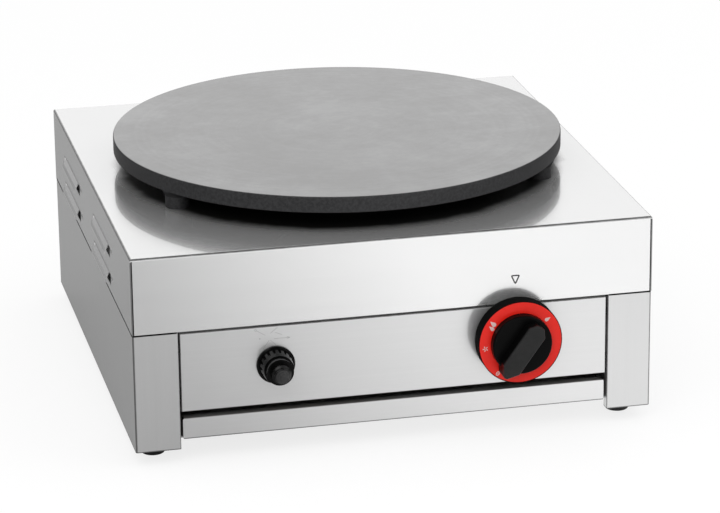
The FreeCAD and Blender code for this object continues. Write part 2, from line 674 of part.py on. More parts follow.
def make_runner(label, sign):
    """An angle along the lower edge of a side panel, which the tray slides on."""
    body = new_body(label)
    outline = [("side - runner_reach", "foot_height"), ("skirt_inside", "foot_height"),
               ("skirt_inside", "foot_height + runner_rise"),
               ("skirt_inside - runner_sheet", "foot_height + runner_rise"),
               ("skirt_inside - runner_sheet", "runner_top"), ("side - runner_reach", "runner_top")]
    start = "front + runner_setback"
    pad(body, "Y", start, f"-({start})", loop(*[(f"{sign}({across})", up) for across, up in outline]))
    skirt = f"{sign}(skirt_inside)"
    round_off(body, "runner_sheet", at(x=skirt, z="foot_height"))
    pocket(body, "Z", "foot_height", "runner_top",
           *[disc(f"{sign}(foot_across)", along, "screw_hole") for along in ("-foot_along", "foot_along")])


def make_foot(label, side_sign, end_sign):
    """A turned rubber foot with a recess for its screw."""
    body = new_body(label, f"{side_sign}(foot_across)", f"{end_sign}(foot_along)")
    turn(body, "Z", ("foot_recess_radius", "0"), ("foot_base_radius", "0"), ("foot_radius", "foot_height * 0.8"),
         ("foot_radius", "foot_height"), ("screw_hole", "foot_height"), ("screw_hole", "foot_recess_depth"),
         ("foot_recess_radius", "foot_recess_depth"))
    round_off(body, "1.2", lambda edge: on_circle(edge, "foot_base_radius", "0"),
              lambda edge: on_circle(edge, "foot_radius", "foot_height"))


def on_circle(edge, radius, up):
    """Whether an edge is the circle of a radius about the body's own Z axis, at a height."""
    limits = edge.BoundBox
    flat = abs(limits.ZMin - value(up)) < 0.01 and abs(limits.ZMax - value(up)) < 0.01
    return flat and abs(limits.XMax - value(radius)) < 0.01 and abs(limits.XMin + value(radius)) < 0.01


FOOT_PLACES = [(f"{side_sign}(foot_across)", f"{end_sign}(foot_along)")
               for side_sign in ("", "-") for end_sign in ("", "-")]
COVER_SCREW_PLACES = [(f"{sign}(screw_side)", along)
                      for sign in ("", "-") for along in ("-screw_along", "0", "screw_along")]
COVER_SCREW_PLACES += [("-body_width / 4", "back - flange / 2"), ("body_width / 4", "back - flange / 2")]
REAR_SCREW_HEIGHTS = ["rear_screw_low", "rear_screw_high"]
PANEL_SCREW_HEIGHTS = ["panel_screw_low", "panel_screw_high"]
LEG_PLACES = [("leg_across", "-leg_along"), ("-leg_across", "-leg_along"), ("0", "leg_circle")]


# Fasteners, each kind one body of separate solids

def make_foot_fasteners():
    """Screws up through the feet and the runners, and their nuts."""
    screws = new_body("foot_screws")
    nuts = new_body("foot_nuts")
    for across, along in FOOT_PLACES:
        head_under = "foot_recess_depth - screw_head_height"
        pad(screws, "Z", head_under, "foot_recess_depth", disc(across, along, "screw_head_radius"))
        pad(screws, "Z", "foot_recess_depth", "runner_top + foot_nut_height + 1.5",
            disc(across, along, "screw_radius"))
        pad(nuts, "Z", "runner_top", "runner_top + foot_nut_height",
            hexagon(across, along, "foot_nut"), disc(across, along, "screw_hole"))


def make_cover_screws():
    """Screws up through the flanges at the seam."""
    body = new_body("cover_screws")
    for across, along in COVER_SCREW_PLACES:
        sheet_under = "panel_sheet" if along == "back - flange / 2" else "frame_sheet"
        head_top = f"seam_height - {sheet_under}"
        pad(body, "Z", f"{head_top} - screw_head_height", head_top, disc(across, along, "screw_head_radius"))
        pad(body, "Z", head_top, f"{head_top} + screw_length", disc(across, along, "screw_radius"))


def make_rear_screws():
    """Screws through the rear panel into the side panels."""
    body = new_body("rear_screws")
    for sign in ("", "-"):
        for up in REAR_SCREW_HEIGHTS:
            across = f"{sign}(rear_screw_across)"
            pad(body, "Y", "back", "back + screw_head_height", disc(across, up, "screw_head_radius"))
            pad(body, "Y", "back - screw_length", "back", disc(across, up, "screw_radius"))


def make_panel_fasteners():
    """Screws between posts and control panel, with a spacer in each gap."""
    screws = new_body("panel_screws")
    spacers = new_body("panel_spacers")
    for sign in ("", "-"):
        for up in PANEL_SCREW_HEIGHTS:
            inner = "panel_half - panel_sheet - 2"
            seat = "post_in + frame_sheet"
            head = (seat, f"{seat} + screw_head_height")
            shank = (inner, seat)
            gap = ("panel_half", "post_in")
            if sign:
                head, shank, gap = [(f"-({high})", f"-({low})") for low, high in (head, shank, gap)]
            pad(screws, "X", *head, disc("panel_screw_along", up, "screw_head_radius"))
            pad(screws, "X", *shank, disc("panel_screw_along", up, "screw_radius"))
            pad(spacers, "X", *gap, disc("panel_screw_along", up, "screw_head_radius"),
                disc("panel_screw_along", up, "screw_hole"))


def make_plate_fasteners():
    """Bolts up through the channels into the legs of the plate, and their washers."""
    bolts = new_body("plate_bolts")
    washers = new_body("plate_washers")
    web_under = "cover_under - rail_sheet"
    for across, along in LEG_PLACES:
        washer_under = f"{web_under} - washer_thickness"
        pad(bolts, "Z", f"{washer_under} - bolt_head_height", washer_under, hexagon(across, along, "bolt_head"))
        pad(bolts, "Z", washer_under, "cover_top + bolt_reach", disc(across, along, "bolt_radius"))
        pad(washers, "Z", washer_under, web_under, disc(across, along, "washer_radius"),
            disc(across, along, "bolt_hole"))


# Plate and the channels that carry it

def make_baking_plate():
    """A cast disc with a thick rim, ribs underneath and three flared legs."""
    body = new_body("baking_plate")
    rim_in = "plate_radius - plate_rim_width"
    turn(body, "Z", ("0", "plate_under"), (f"{rim_in} - 3", "plate_under"), (rim_in, "rim_bottom"),
         ("plate_radius", "rim_bottom"), ("plate_radius", "plate_top"), ("0", "plate_top"))
    round_off(body, "1.2", lambda edge: on_circle(edge, "plate_radius", "plate_top"),
              lambda edge: on_circle(edge, "plate_radius", "rim_bottom"))
    rib = pad(body, "Z", "plate_under - rib_depth", "plate_under",
              box("hub_radius", "-rib_width / 2", rim_in, "rib_width / 2"))
    around(body, "6", rib)
    pad(body, "Z", "plate_under - rib_depth", "plate_under", disc("0", "0", "hub_radius + rib_width"),
        disc("0", "0", "hub_radius"))
    for across, along in LEG_PLACES:
        add_leg(body, across, along)
    pocket(body, "Z", "cover_top", "cover_top + bolt_reach + 1",
           *[disc(across, along, "bolt_hole") for across, along in LEG_PLACES])


def add_leg(body, across, along):
    """One leg: a turned foot that flares where it meets the rim."""
    sketch = new_sketch(body, "Y", along)
    points = [(across, "cover_top"), (f"{across} + leg_radius", "cover_top"),
              (f"{across} + leg_radius", "rim_bottom - 5"), (f"{across} + leg_root_radius", "rim_bottom"),
              (f"{across} + leg_root_radius", "plate_under + 1"), (across, "plate_under + 1")]
    loop(*points)(sketch)
    last = len(points) - 1
    feature = body.newObject("PartDesign::Revolution", body.Label + "_leg")
    feature.Profile = sketch
    feature.ReferenceAxis = (sketch, [f"Edge{last + 1}"])
    feature.Angle = 360
    body.Tip = feature


def channel(half, top, bottom, thickness):
    """The outline of a channel that is open underneath, about its own middle."""
    return [(f"-({half})", top), (half, top), (half, bottom), (f"({half}) - {thickness}", bottom),
            (f"({half}) - {thickness}", f"({top}) - {thickness}"),
            (f"-(({half}) - {thickness})", f"({top}) - {thickness}"),
            (f"-(({half}) - {thickness})", bottom), (f"-({half})", bottom)]


def make_side_rail(label, sign):
    """A channel from front skirt to rear skirt, under one leg of the plate."""
    body = new_body(label, f"{sign}(leg_across)")
    end = "back - cover_sheet - clearance"
    pad(body, "Y", f"-({end})", end, loop(*channel("rail_width / 2", "cover_under", "rail_bottom", "rail_sheet")))
    pocket(body, "Z", "cover_under - rail_sheet", "cover_under", disc("0", "-leg_along", "bolt_hole + clearance"))


def make_rear_rail():
    """A channel between the two side rails, under the rear leg of the plate."""
    body = new_body("plate_rail_rear", "0", "leg_circle")
    end = "leg_across - rail_width / 2 - clearance"
    pad(body, "X", f"-({end})", end, loop(*channel("rail_width / 2", "cover_under", "rail_bottom", "rail_sheet")))
    pocket(body, "Z", "cover_under - rail_sheet", "cover_under", disc("0", "0", "bolt_hole + clearance"))


# Burner

def make_burner_star():
    """A hollow hub with tube arms round it, and flame slots sawn across each arm."""
    body = new_body("burner_star")
    turn(body, "Z", ("0", "boss_bottom"), ("boss_radius", "boss_bottom"), ("boss_radius", "hub_bottom"),
         ("hub_radius", "hub_bottom"), ("hub_radius", "hub_top"), ("0", "hub_top"))
    arm = pad(body, "X", "hub_radius - hub_wall / 2", "arm_reach", disc("0", "arm_height", "arm_radius"))
    around(body, "arm_count", arm)
    bore = pocket(body, "X", "hub_radius - hub_wall * 2", "arm_reach - arm_wall",
                  disc("0", "arm_height", "arm_radius - arm_wall"))
    around(body, "arm_count", bore)
    groove(body, "Z", ("0", "boss_bottom + hub_wall"), ("boss_radius - hub_wall", "boss_bottom + hub_wall"),
           ("boss_radius - hub_wall", "hub_bottom + hub_wall"),
           ("hub_radius - hub_wall", "hub_bottom + hub_wall"),
           ("hub_radius - hub_wall", "hub_top - hub_wall"), ("0", "hub_top - hub_wall"))
    first = "hub_radius + flame_slot_pitch * 0.5"
    slots = [box(f"{first} + {number} * flame_slot_pitch", "-arm_radius",
                 f"{first} + {number} * flame_slot_pitch + flame_slot", "arm_radius") for number in range(7)]
    sawn = pocket(body, "Z", "arm_top - flame_slot_depth", "arm_top + 1", *slots)
    around(body, "arm_count", sawn)
    pocket(body, "Y", "-boss_radius - 1", "-boss_radius + hub_wall + 4", disc("0", "tube_height", "tube_radius + fit"))


def make_burner_bar():
    """A bent cross bar that hangs from the side rails and carries the hub."""
    body = new_body("burner_bar")
    tab = "leg_across + rail_width / 2"
    outline = [(tab, "rail_bottom"), ("bar_drop_at - bar_sheet", "rail_bottom"),
               ("bar_drop_at - bar_sheet", "boss_bottom"), ("-(bar_drop_at - bar_sheet)", "boss_bottom"),
               ("-(bar_drop_at - bar_sheet)", "rail_bottom"), (f"-({tab})", "rail_bottom"),
               (f"-({tab})", "rail_bottom - bar_sheet"), ("-bar_drop_at", "rail_bottom - bar_sheet"),
               ("-bar_drop_at", "boss_bottom - bar_sheet"), ("bar_drop_at", "boss_bottom - bar_sheet"),
               ("bar_drop_at", "rail_bottom - bar_sheet"), (tab, "rail_bottom - bar_sheet")]
    pad(body, "Y", "-bar_width / 2", "bar_width / 2", loop(*outline))
    bends = [at(x=f"{sign}bar_drop_at", z=place) for sign in ("", "-")
             for place in ("boss_bottom - bar_sheet", "rail_bottom - bar_sheet")]
    round_off(body, "bar_sheet", *bends)


def make_mixing_tube():
    """A venturi tube from a bell mouth to the hub, with a yoke that holds the injector."""
    body = new_body("mixing_tube", "0", "0", "tube_height")
    inside = "tube_radius - tube_wall"
    end = "-(boss_radius - hub_wall)"
    mouth = "-mouth_place"
    throat = "-throat_place"
    full_width = "-throat_place + flare_run"
    turn(body, "Y", (inside, end), ("tube_radius", end), ("tube_radius", full_width),
         ("tube_throat + tube_wall", throat), ("tube_mouth", mouth), ("tube_mouth - tube_wall", mouth),
         ("tube_throat", throat), (inside, full_width))
    for sign in ("", "-"):
        low, high = "tube_mouth - tube_wall", "tube_mouth + yoke_sheet"
        pair = (low, high) if sign == "" else (f"-({high})", f"-({low})")
        pad(body, "X", *pair, box("-yoke_place - yoke_sheet", "-5", f"{mouth} + 2", "5"))
    pad(body, "Y", "-yoke_place - yoke_sheet", "-yoke_place",
        box("-(tube_mouth + yoke_sheet)", "-5", "tube_mouth + yoke_sheet", "5"))
    pad(body, "Y", "-yoke_place - yoke_sheet", "-yoke_place", disc("0", "0", "injector_radius + 5"))
    pocket(body, "Y", "-yoke_place - yoke_sheet", "-yoke_place", disc("0", "0", "injector_radius + fit"))


def make_injector():
    """A brass jet with a hexagon, a thread through the yoke and a tapered nose."""
    body = new_body("injector", "0", "0", "tube_height")
    face = "-yoke_place - yoke_sheet"
    nose = "-mouth_place - 4"
    turn(body, "Y", ("1", "-injector_inlet"), ("burner_pipe_radius + 3", "-injector_inlet"),
         ("burner_pipe_radius + 3", face), ("injector_radius", face), ("injector_radius", f"{nose} - 6"),
         ("2.2", nose), ("1", nose))
    pad(body, "Y", f"{face} - injector_hex_length", face, hexagon("0", "0", "injector_hex"), disc("0", "0", "3"))
    groove(body, "Y", ("0", "-injector_inlet"), ("burner_pipe_radius + fit", "-injector_inlet"),
           ("burner_pipe_radius + fit", "-injector_inlet + pipe_socket"), ("0", "-injector_inlet + pipe_socket"))


def make_air_shutter():
    """A disc on the injector's thread that sets the air gap of the bell mouth."""
    body = new_body("air_shutter", "0", "0", "tube_height")
    place = "-yoke_place + 4"
    pad(body, "Y", place, f"{place} + 1.5", disc("0", "0", "tube_mouth - tube_wall - 1"),
        disc("0", "0", "injector_radius + fit"))
    pad(body, "Y", place, f"{place} + 5", hexagon("0", "0", "injector_hex - 1"),
        disc("0", "0", "injector_radius + fit"))


# Pipes and leads

def rounded_route(points, bend):
    """A wire of straight runs joined by tangent arcs of one radius."""
    edges = []
    start = points[0]
    for before, corner, after in zip(points, points[1:], points[2:]):
        back = (before - corner).normalize()
        ahead = (after - corner).normalize()
        half = back.getAngle(ahead) / 2
        reach = bend / math.tan(half)
        first = corner + back * reach
        last = corner + ahead * reach
        inwards = (back + ahead).normalize()
        middle = corner + inwards * (((reach ** 2 + bend ** 2) ** 0.5) - bend)
        edges.append(Part.LineSegment(start, first).toShape())
        edges.append(Part.Arc(first, middle, last).toShape())
        start = last
    edges.append(Part.LineSegment(start, points[-1]).toShape())
    return Part.Wire(edges)


def make_swept(label, points, radius, bend, wall=None):
    """A round tube or solid lead along a route."""
    route = rounded_route([spot(*point) for point in points], value(bend))

    def sweep(size):
        start = route.Vertexes[0].Point
        ahead = route.Edges[0].tangentAt(route.Edges[0].FirstParameter)
        ring = Part.Wire([Part.Circle(start, ahead, size).toShape()])
        return route.makePipeShell([ring], True, True)
    shape = sweep(value(radius))
    if wall:
        shape = shape.cut(sweep(value(radius) - value(wall)))
    feature = doc.addObject("Part::Feature", label)
    feature.Label = label
    feature.Shape = shape
    feature.Placement = Placement(Vector(0, 0, 0), Rotation())
    pieces.append(feature)


def make_pipes():
    """The gas pipes from the inlet to the valve, and from the valve to the injector."""
    port = "valve_port_reach - pipe_socket + clearance"
    make_swept("burner_pipe", [(f"knob_across - ({port})", "pipe_rise", "knob_height"),
                               ("0", "pipe_rise", "knob_height"), ("0", "pipe_rise", "tube_height"),
                               ("0", "-injector_inlet + pipe_socket - clearance", "tube_height")],
               "burner_pipe_radius", "burner_pipe_bend", "pipe_wall")
    make_swept("supply_pipe", [(f"knob_across + {port}", "pipe_rise", "knob_height"),
                               ("inlet_across", "pipe_rise", "knob_height"),
                               ("inlet_across", "back - inlet_in + pipe_socket - clearance", "knob_height")],
               "supply_pipe_radius", "supply_pipe_bend", "pipe_wall")


def make_leads():
    """The spark lead and the lead of the thermocouple."""
    magnet_end = "valve_back + magnet_length"
    make_swept("thermocouple_lead", [("knob_across", magnet_end, "knob_height"),
                                     ("knob_across", f"{magnet_end} + 34", "knob_height"),
                                     ("probe_across", "-probe_place", "knob_height + 12"),
                                     ("probe_across", "-probe_place", "thermocouple_bottom")],
               "capillary_radius", "lead_bend")
    barrel_end = "panel_front + barrel_length + 6"
    make_swept("ignition_lead", [("-lighter_across", barrel_end, "lighter_height"),
                                 ("-lighter_across", f"{barrel_end} + 34", "lighter_height"),
                                 ("-probe_across", "-probe_place", "lighter_height + 4"),
                                 ("-probe_across", "-probe_place", "electrode_bottom - 6")],
               "lead_radius", "lead_bend")


# Gas inlet

def make_gas_inlet():
    """A threaded stub through the rear panel, with its locknut on the inside."""
    body = new_body("gas_inlet_stub", "inlet_across", "0", "knob_height")
    inner = "back - inlet_in"
    outer = "back + inlet_out"
    shoulder = "back + inlet_hex_thickness"
    turn(body, "Y", ("supply_pipe_radius - pipe_wall", inner), ("inlet_neck", inner), ("inlet_neck", shoulder),
         ("inlet_radius", shoulder), ("inlet_radius", f"{outer} - 1"), ("inlet_radius - 1", outer),
         ("supply_pipe_radius - pipe_wall", outer))
    pad(body, "Y", "back", shoulder, hexagon("0", "0", "inlet_hex"), disc("0", "0", "inlet_neck - 1"))
    groove(body, "Y", ("0", inner), ("supply_pipe_radius + fit", inner),
           ("supply_pipe_radius + fit", f"{inner} + pipe_socket"), ("0", f"{inner} + pipe_socket"))
    nut = new_body("inlet_locknut", "inlet_across", "0", "knob_height")
    pad(nut, "Y", "rear_inside - locknut_thickness", "rear_inside", hexagon("0", "0", "inlet_hex"),
        disc("0", "0", "inlet_neck + fit"))


# Gas valve

def make_valve_body():
    """A brass barrel with a tapered bore and a port to each side."""
    body = new_body("valve_body", "knob_across", "0", "knob_height")
    turn(body, "Y", ("0", "valve_face"), ("valve_radius", "valve_face"), ("valve_radius", "valve_back - 10"),
         ("magnet_radius + 2", "valve_back"), ("0", "valve_back"))
    pad(body, "X", "-valve_port_reach", "valve_port_reach", disc("pipe_rise", "0", "valve_port_radius"))
    groove(body, "Y", ("0", "valve_face"), ("plug_front_radius + fit", "valve_face"),
           ("plug_front_radius + fit", "plug_front"), ("plug_back_radius + fit", "plug_back + fit"),
           ("0", "plug_back + fit"))
    pocket(body, "X", "-valve_port_reach", "-(valve_port_reach - pipe_socket)",
           disc("pipe_rise", "0", "burner_pipe_radius + fit"))
    pocket(body, "X", "valve_port_reach - pipe_socket", "valve_port_reach",
           disc("pipe_rise", "0", "supply_pipe_radius + fit"))
    pocket(body, "X", "-valve_port_reach", "valve_port_reach",
           disc("pipe_rise", "0", "burner_pipe_radius - pipe_wall"))
    pocket(body, "Y", "plug_back", "valve_back", disc("0", "0", "pusher_radius + clearance"))
    screw_bottom = "valve_face + screw_length - bonnet_thickness"
    pocket(body, "Y", "valve_face", f"{screw_bottom} + 1",
           *[disc(f"{sign}valve_screw_across", "0", "valve_screw_radius + fit") for sign in ("", "-")])


def make_valve_bonnet():
    """The front plate of the valve, which guides the spindle."""
    body = new_body("valve_bonnet", "knob_across", "0", "knob_height")
    pad(body, "Y", "bonnet_front", "valve_face", disc("0", "0", "valve_radius"), disc("0", "0", "spindle_radius + fit"))
    pocket(body, "Y", "bonnet_front", "valve_face",
           *[disc(f"{sign}valve_screw_across", "0", "valve_screw_radius + fit") for sign in ("", "-")])


def make_valve_screws():
    """Two screws through bracket and bonnet into the valve body."""
    body = new_body("valve_screws", "knob_across", "0", "knob_height")
    plate_front = "bonnet_front - bracket_sheet"
    for sign in ("", "-"):
        across = f"{sign}valve_screw_across"
        pad(body, "Y", f"{plate_front} - 2", plate_front, disc(across, "0", "valve_screw_head"))
        pad(body, "Y", plate_front, "valve_face + screw_length - bonnet_thickness",
            disc(across, "0", "valve_screw_radius"))


def make_valve_plug():
    """The tapered plug, with a slot for the spindle, a bore for the push rod and a gas port."""
    body = new_body("valve_plug", "knob_across", "0", "knob_height")
    turn(body, "Y", ("0", "plug_front"), ("plug_front_radius", "plug_front"), ("plug_back_radius", "plug_back"),
         ("0", "plug_back"))
    pocket(body, "Y", "plug_front", "tongue_end + push_travel + 0.5",
           box("-(spindle_radius + clearance)", "-(tongue_width / 2 + fit)",
               "spindle_radius + clearance", "tongue_width / 2 + fit"))
    pocket(body, "Y", "tongue_end", "plug_back", disc("0", "0", "pusher_radius + fit"))
    pocket(body, "X", "-plug_front_radius", "plug_front_radius",
           disc("pipe_rise", "0", "burner_pipe_radius - pipe_wall"))


def make_valve_spindle():
    """The spindle from the knob to the plug, ending in a flat tongue."""
    body = new_body("valve_spindle", "knob_across", "0", "knob_height")
    front_end = "front - hub_front + 4.5"
    shoulder = "plug_front - push_travel - clearance"
    pad(body, "Y", front_end, shoulder, disc("0", "0", "spindle_radius"))
    pad(body, "Y", shoulder, "tongue_end", box("-(spindle_radius - 0.4)", "-tongue_width / 2",
                                               "spindle_radius - 0.4", "tongue_width / 2"))


def make_valve_pusher():
    """The push rod between the spindle and the safety magnet."""
    body = new_body("valve_pusher", "knob_across", "0", "knob_height")
    pad(body, "Y", "pusher_front", "pusher_front + pusher_length", disc("0", "0", "pusher_radius"))
    bevel(body, "0.4", at(y="pusher_front + pusher_length"))


def make_magnet_unit():
    """The safety magnet behind the valve, open at the front for the push rod."""
    body = new_body("magnet_unit", "knob_across", "0", "knob_height")
    stop = "pusher_front + pusher_length + push_travel + 1"
    end = "valve_back + magnet_length"
    turn(body, "Y", ("pusher_radius + clearance", "valve_back"), ("magnet_radius", "valve_back"),
         ("magnet_radius", f"{end} - 12"), ("magnet_radius - 3", f"{end} - 8"), ("capillary_radius + 2", f"{end} - 8"),
         ("capillary_radius + 2", end), ("0", end), ("0", stop), ("pusher_radius + clearance", stop))


def make_valve_bracket():
    """A hat of sheet that carries the valve on the back of the control panel."""
    body = new_body("valve_bracket", "knob_across")
    half = "bracket_half_width"
    foot = f"{half} + bracket_foot"
    inner = f"{half} - bracket_sheet"
    plate = "bonnet_front - bracket_sheet"
    right = [(foot, "panel_inside"), (foot, "panel_inside + bracket_sheet"),
             (half, "panel_inside + bracket_sheet"), (half, "bonnet_front")]
    left = [(f"-({half})", "bonnet_front"), (f"-({half})", "panel_inside + bracket_sheet"),
            (f"-({foot})", "panel_inside + bracket_sheet"), (f"-({foot})", "panel_inside"),
            (f"-({inner})", "panel_inside"), (f"-({inner})", plate)]
    low = "knob_height - bracket_height / 2"
    high = "knob_height + bracket_height / 2"
    pad(body, "Z", low, high, loop(*right, *left, (inner, plate), (inner, "panel_inside")))
    pocket(body, "Y", plate, "bonnet_front", disc("0", "knob_height", "spindle_radius + 1"),
           *[disc(f"{sign}valve_screw_across", "knob_height", "valve_screw_radius + fit") for sign in ("", "-")])


# Knob, turned to where the pointer stands

def set_knob_turn(body):
    """Turn a piece of the knob about the spindle, clockwise as the user sees it."""
    body.Placement = Placement(body.Placement.Base, Rotation(Vector(0, 1, 0), 0))
    body.setExpression("Placement.Rotation.Angle", full("knob_turn"))
    body.Placement.Rotation.Axis = Vector(0, 1, 0)


def make_knob_body():
    """A skirted knob with a raised hub and a bar grip that ends in a pointer."""
    body = new_body("knob_body", "knob_across", "front", "knob_height")
    seat = "-(ring_front - ring_sheet)"
    inside = f"{seat} + 2.5"
    turn(body, "Y", ("0", "-hub_front"), ("ring_hole", "-hub_front"), ("ring_hole", seat), ("ring_radius", seat),
         ("ring_radius", "-knob_back"), ("ring_radius - knob_shell", "-knob_back"),
         ("ring_radius - knob_shell", inside), ("knob_boss", inside),
         ("knob_boss", "-knob_back + 2"), ("0", "-knob_back + 2"))
    round_off(body, "1.6", lambda edge: about_y(edge, "ring_hole", "-hub_front"))
    grip_under = "-(ring_front + clearance)"
    half = "grip_width / 2"
    pad(body, "Y", "-grip_front", grip_under,
        loop((f"-({half})", "-(grip_tail - 6)"), (f"-({half}) + 5", "-grip_tail"), (f"{half} - 5", "-grip_tail"),
             (half, "-(grip_tail - 6)"), (half, "grip_tip - 9"), ("1.2", "grip_tip"), ("-1.2", "grip_tip"),
             (f"-({half})", "grip_tip - 9")))
    round_off(body, "2.2", at(y="-grip_front"))
    pocket(body, "Y", "-hub_front + 4", "-knob_back + 2", disc("0", "0", "spindle_radius + fit"))
    set_knob_turn(body)


def about_y(edge, radius, along):
    """Whether an edge is the circle of a radius about the body's own Y axis, at a place."""
    limits = edge.BoundBox
    flat = abs(limits.YMin - value(along)) < 0.01 and abs(limits.YMax - value(along)) < 0.01
    return flat and abs(limits.XMax - value(radius)) < 0.01 and abs(limits.XMin + value(radius)) < 0.01


def make_knob_ring():
    """The coloured dial ring on the skirt of the knob."""
    body = new_body("knob_ring", "knob_across", "front", "knob_height")
    pad(body, "Y", "-ring_front", "-(ring_front - ring_sheet)", disc("0", "0", "ring_radius"),
        disc("0", "0", "ring_hole + fit"))
    round_off(body, "ring_sheet / 3", lambda edge: about_y(edge, "ring_radius", "-ring_front"))
    set_knob_turn(body)


# Lighter

def make_igniter_bezel():
    """A bezel with a flange, a ribbed taper to grip and a plain collar."""
    body = new_body("igniter_bezel", "-lighter_across", "lighter_face", "lighter_height")
    bore = "button_radius + fit"
    grip = "-(bezel_flange + bezel_grip)"
    front_end = f"{grip} - bezel_collar"
    turn(body, "Y", (bore, "0"), ("bezel_radius", "0"), ("bezel_radius", "-bezel_flange + 1"),
         ("bezel_radius - 1", "-bezel_flange"), ("bezel_grip_radius", "-bezel_flange"),
         ("bezel_grip_front_radius", grip), ("bezel_collar_radius", grip), ("bezel_collar_radius", front_end), (bore, front_end))
    flute = pocket(body, "Y", f"{grip} - 0.5", "-bezel_flange - 1.5",
                   disc("bezel_grip_radius", "0", "bezel_flute"))
    around(body, "bezel_flute_count", flute, axis="Y")


def make_igniter_button():
    """The stepped push button of the lighter, grooved round its rim and on its nose."""
    body = new_body("igniter_button", "-lighter_across", "lighter_face", "lighter_height")
    nose = "-(button_out - button_step)"
    turn(body, "Y", ("0", "button_in"), ("button_radius", "button_in"), ("button_radius", nose),
         ("button_nose_radius", f"{nose} - 1"), ("button_nose_radius", "-button_out"), ("0", "-button_out"))
    round_off(body, "1.2", lambda edge: about_y(edge, "button_nose_radius", "-button_out"))
    groove(body, "Y", ("button_disc_radius", "-button_out + button_groove"),
           ("button_disc_radius + button_groove", "-button_out + button_groove"),
           ("button_disc_radius + button_groove", "-button_out - 1"), ("button_disc_radius", "-button_out - 1"))
    rim = f"{nose} + 2"
    groove(body, "Y", ("button_radius - button_groove", rim), ("button_radius + 1", rim),
           ("button_radius + 1", f"{rim} + button_groove"), ("button_radius - button_groove", f"{rim} + button_groove"))


def make_piezo_body():
    """The threaded barrel of the lighter behind the panel, open at its front for the button."""
    body = new_body("piezo_body", "-lighter_across", "lighter_face", "lighter_height")
    bore = "button_radius + fit"
    stop = "button_in + button_travel + 1"
    turn(body, "Y", (bore, "0"), ("barrel_radius", "0"), ("barrel_radius", "barrel_length"),
         ("3", "barrel_length"), ("3", "barrel_length + 6"), ("0", "barrel_length + 6"), ("0", stop), (bore, stop))
    nut = new_body("igniter_nut", "-lighter_across", "0", "lighter_height")
    pad(nut, "Y", "panel_inside", "panel_inside + barrel_nut_thickness", hexagon("0", "0", "barrel_nut"),
        disc("0", "0", "barrel_radius + fit"))


# Electrode and thermocouple

def make_probes():
    """A small plate on the mixing tube that holds the spark electrode and the thermocouple."""
    plate = new_body("electrode_bracket")
    reach = "probe_across + electrode_radius + 4"
    middle = "-probe_place"
    top = "bracket_top + probe_bracket_sheet"
    pad(plate, "Z", "bracket_top", top,
        box(f"-({reach})", f"{middle} - probe_bracket_depth / 2", reach, f"{middle} + probe_bracket_depth / 2"))
    pocket(plate, "Z", "bracket_top", top, disc("-probe_across", middle, "electrode_radius + fit"),
           disc("probe_across", middle, "thermocouple_radius + fit"))
    electrode = new_body("spark_electrode", "-probe_across", middle)
    turn(electrode, "Z", ("0", "electrode_bottom - 6"), ("1.5", "electrode_bottom - 6"),
         ("1.5", "electrode_bottom"), ("electrode_radius", "electrode_bottom"), ("electrode_radius", top),
         ("electrode_radius + 1.4", top), ("electrode_radius + 1.4", f"{top} + 2"),
         ("electrode_radius", f"{top} + 2"), ("electrode_radius", "electrode_top"), ("1", "electrode_top"),
         ("1", "electrode_top + 8"), ("0", "electrode_top + 8"))
    probe = new_body("thermocouple_tip", "probe_across", middle)
    turn(probe, "Z", ("0", "thermocouple_bottom"), ("thermocouple_radius", "thermocouple_bottom"),
         ("thermocouple_radius", "thermocouple_top - 2"), ("1", "thermocouple_top"), ("0", "thermocouple_top"))
    pad(probe, "Z", "bracket_top - 4", "bracket_top", hexagon("0", "0", "8"))


def write_parts():
    """Check every object and every piece, then write one file for each piece."""
    doc.recompute()
    for item in doc.Objects:
        if "Invalid" in item.State or "Error" in item.State:
            raise ValueError("failed: " + item.Label)
    for piece in pieces:
        if piece.Shape.isNull() or not piece.Shape.isValid() or not piece.Shape.Solids:
            raise ValueError("bad shape: " + piece.Label)
    os.makedirs("parts", exist_ok=True)
    for piece in pieces:
        piece.Shape.exportStep(f"parts/{piece.Label}.step")
        print(f"{piece.Label}: {len(piece.Shape.Solids)} solids, {piece.Shape.Volume / 1000:.1f} cm3")


fill_sheet()
make_top_cover()
for piece_side, piece_sign in (("left", "-"), ("right", "")):
    make_side_panel(f"side_panel_{piece_side}", piece_sign)
    make_runner(f"runner_{piece_side}", piece_sign)
    make_side_rail(f"plate_rail_{piece_side}", piece_sign)
    make_foot(f"foot_front_{piece_side}", piece_sign, "-")
    make_foot(f"foot_rear_{piece_side}", piece_sign, "")
make_control_panel()
make_rear_panel()
make_drip_tray()
make_foot_fasteners()
make_cover_screws()
make_rear_screws()
make_panel_fasteners()
make_plate_fasteners()
make_rear_rail()
make_baking_plate()
make_burner_star()
make_burner_bar()
make_mixing_tube()
make_injector()
make_air_shutter()
make_pipes()
make_leads()
make_gas_inlet()
make_valve_body()
make_valve_bonnet()
make_valve_screws()
make_valve_plug()
make_valve_spindle()
make_valve_pusher()
make_magnet_unit()
make_valve_bracket()
make_knob_body()
make_knob_ring()
make_igniter_bezel()
make_igniter_button()
make_piezo_body()
make_probes()
write_parts()
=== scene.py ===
"""Looks of a gas crepe maker: steel housing, cast plate, red-ringed knob and black push lighter."""

import math

import bmesh
import bpy
import numpy as np
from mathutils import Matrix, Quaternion, Vector


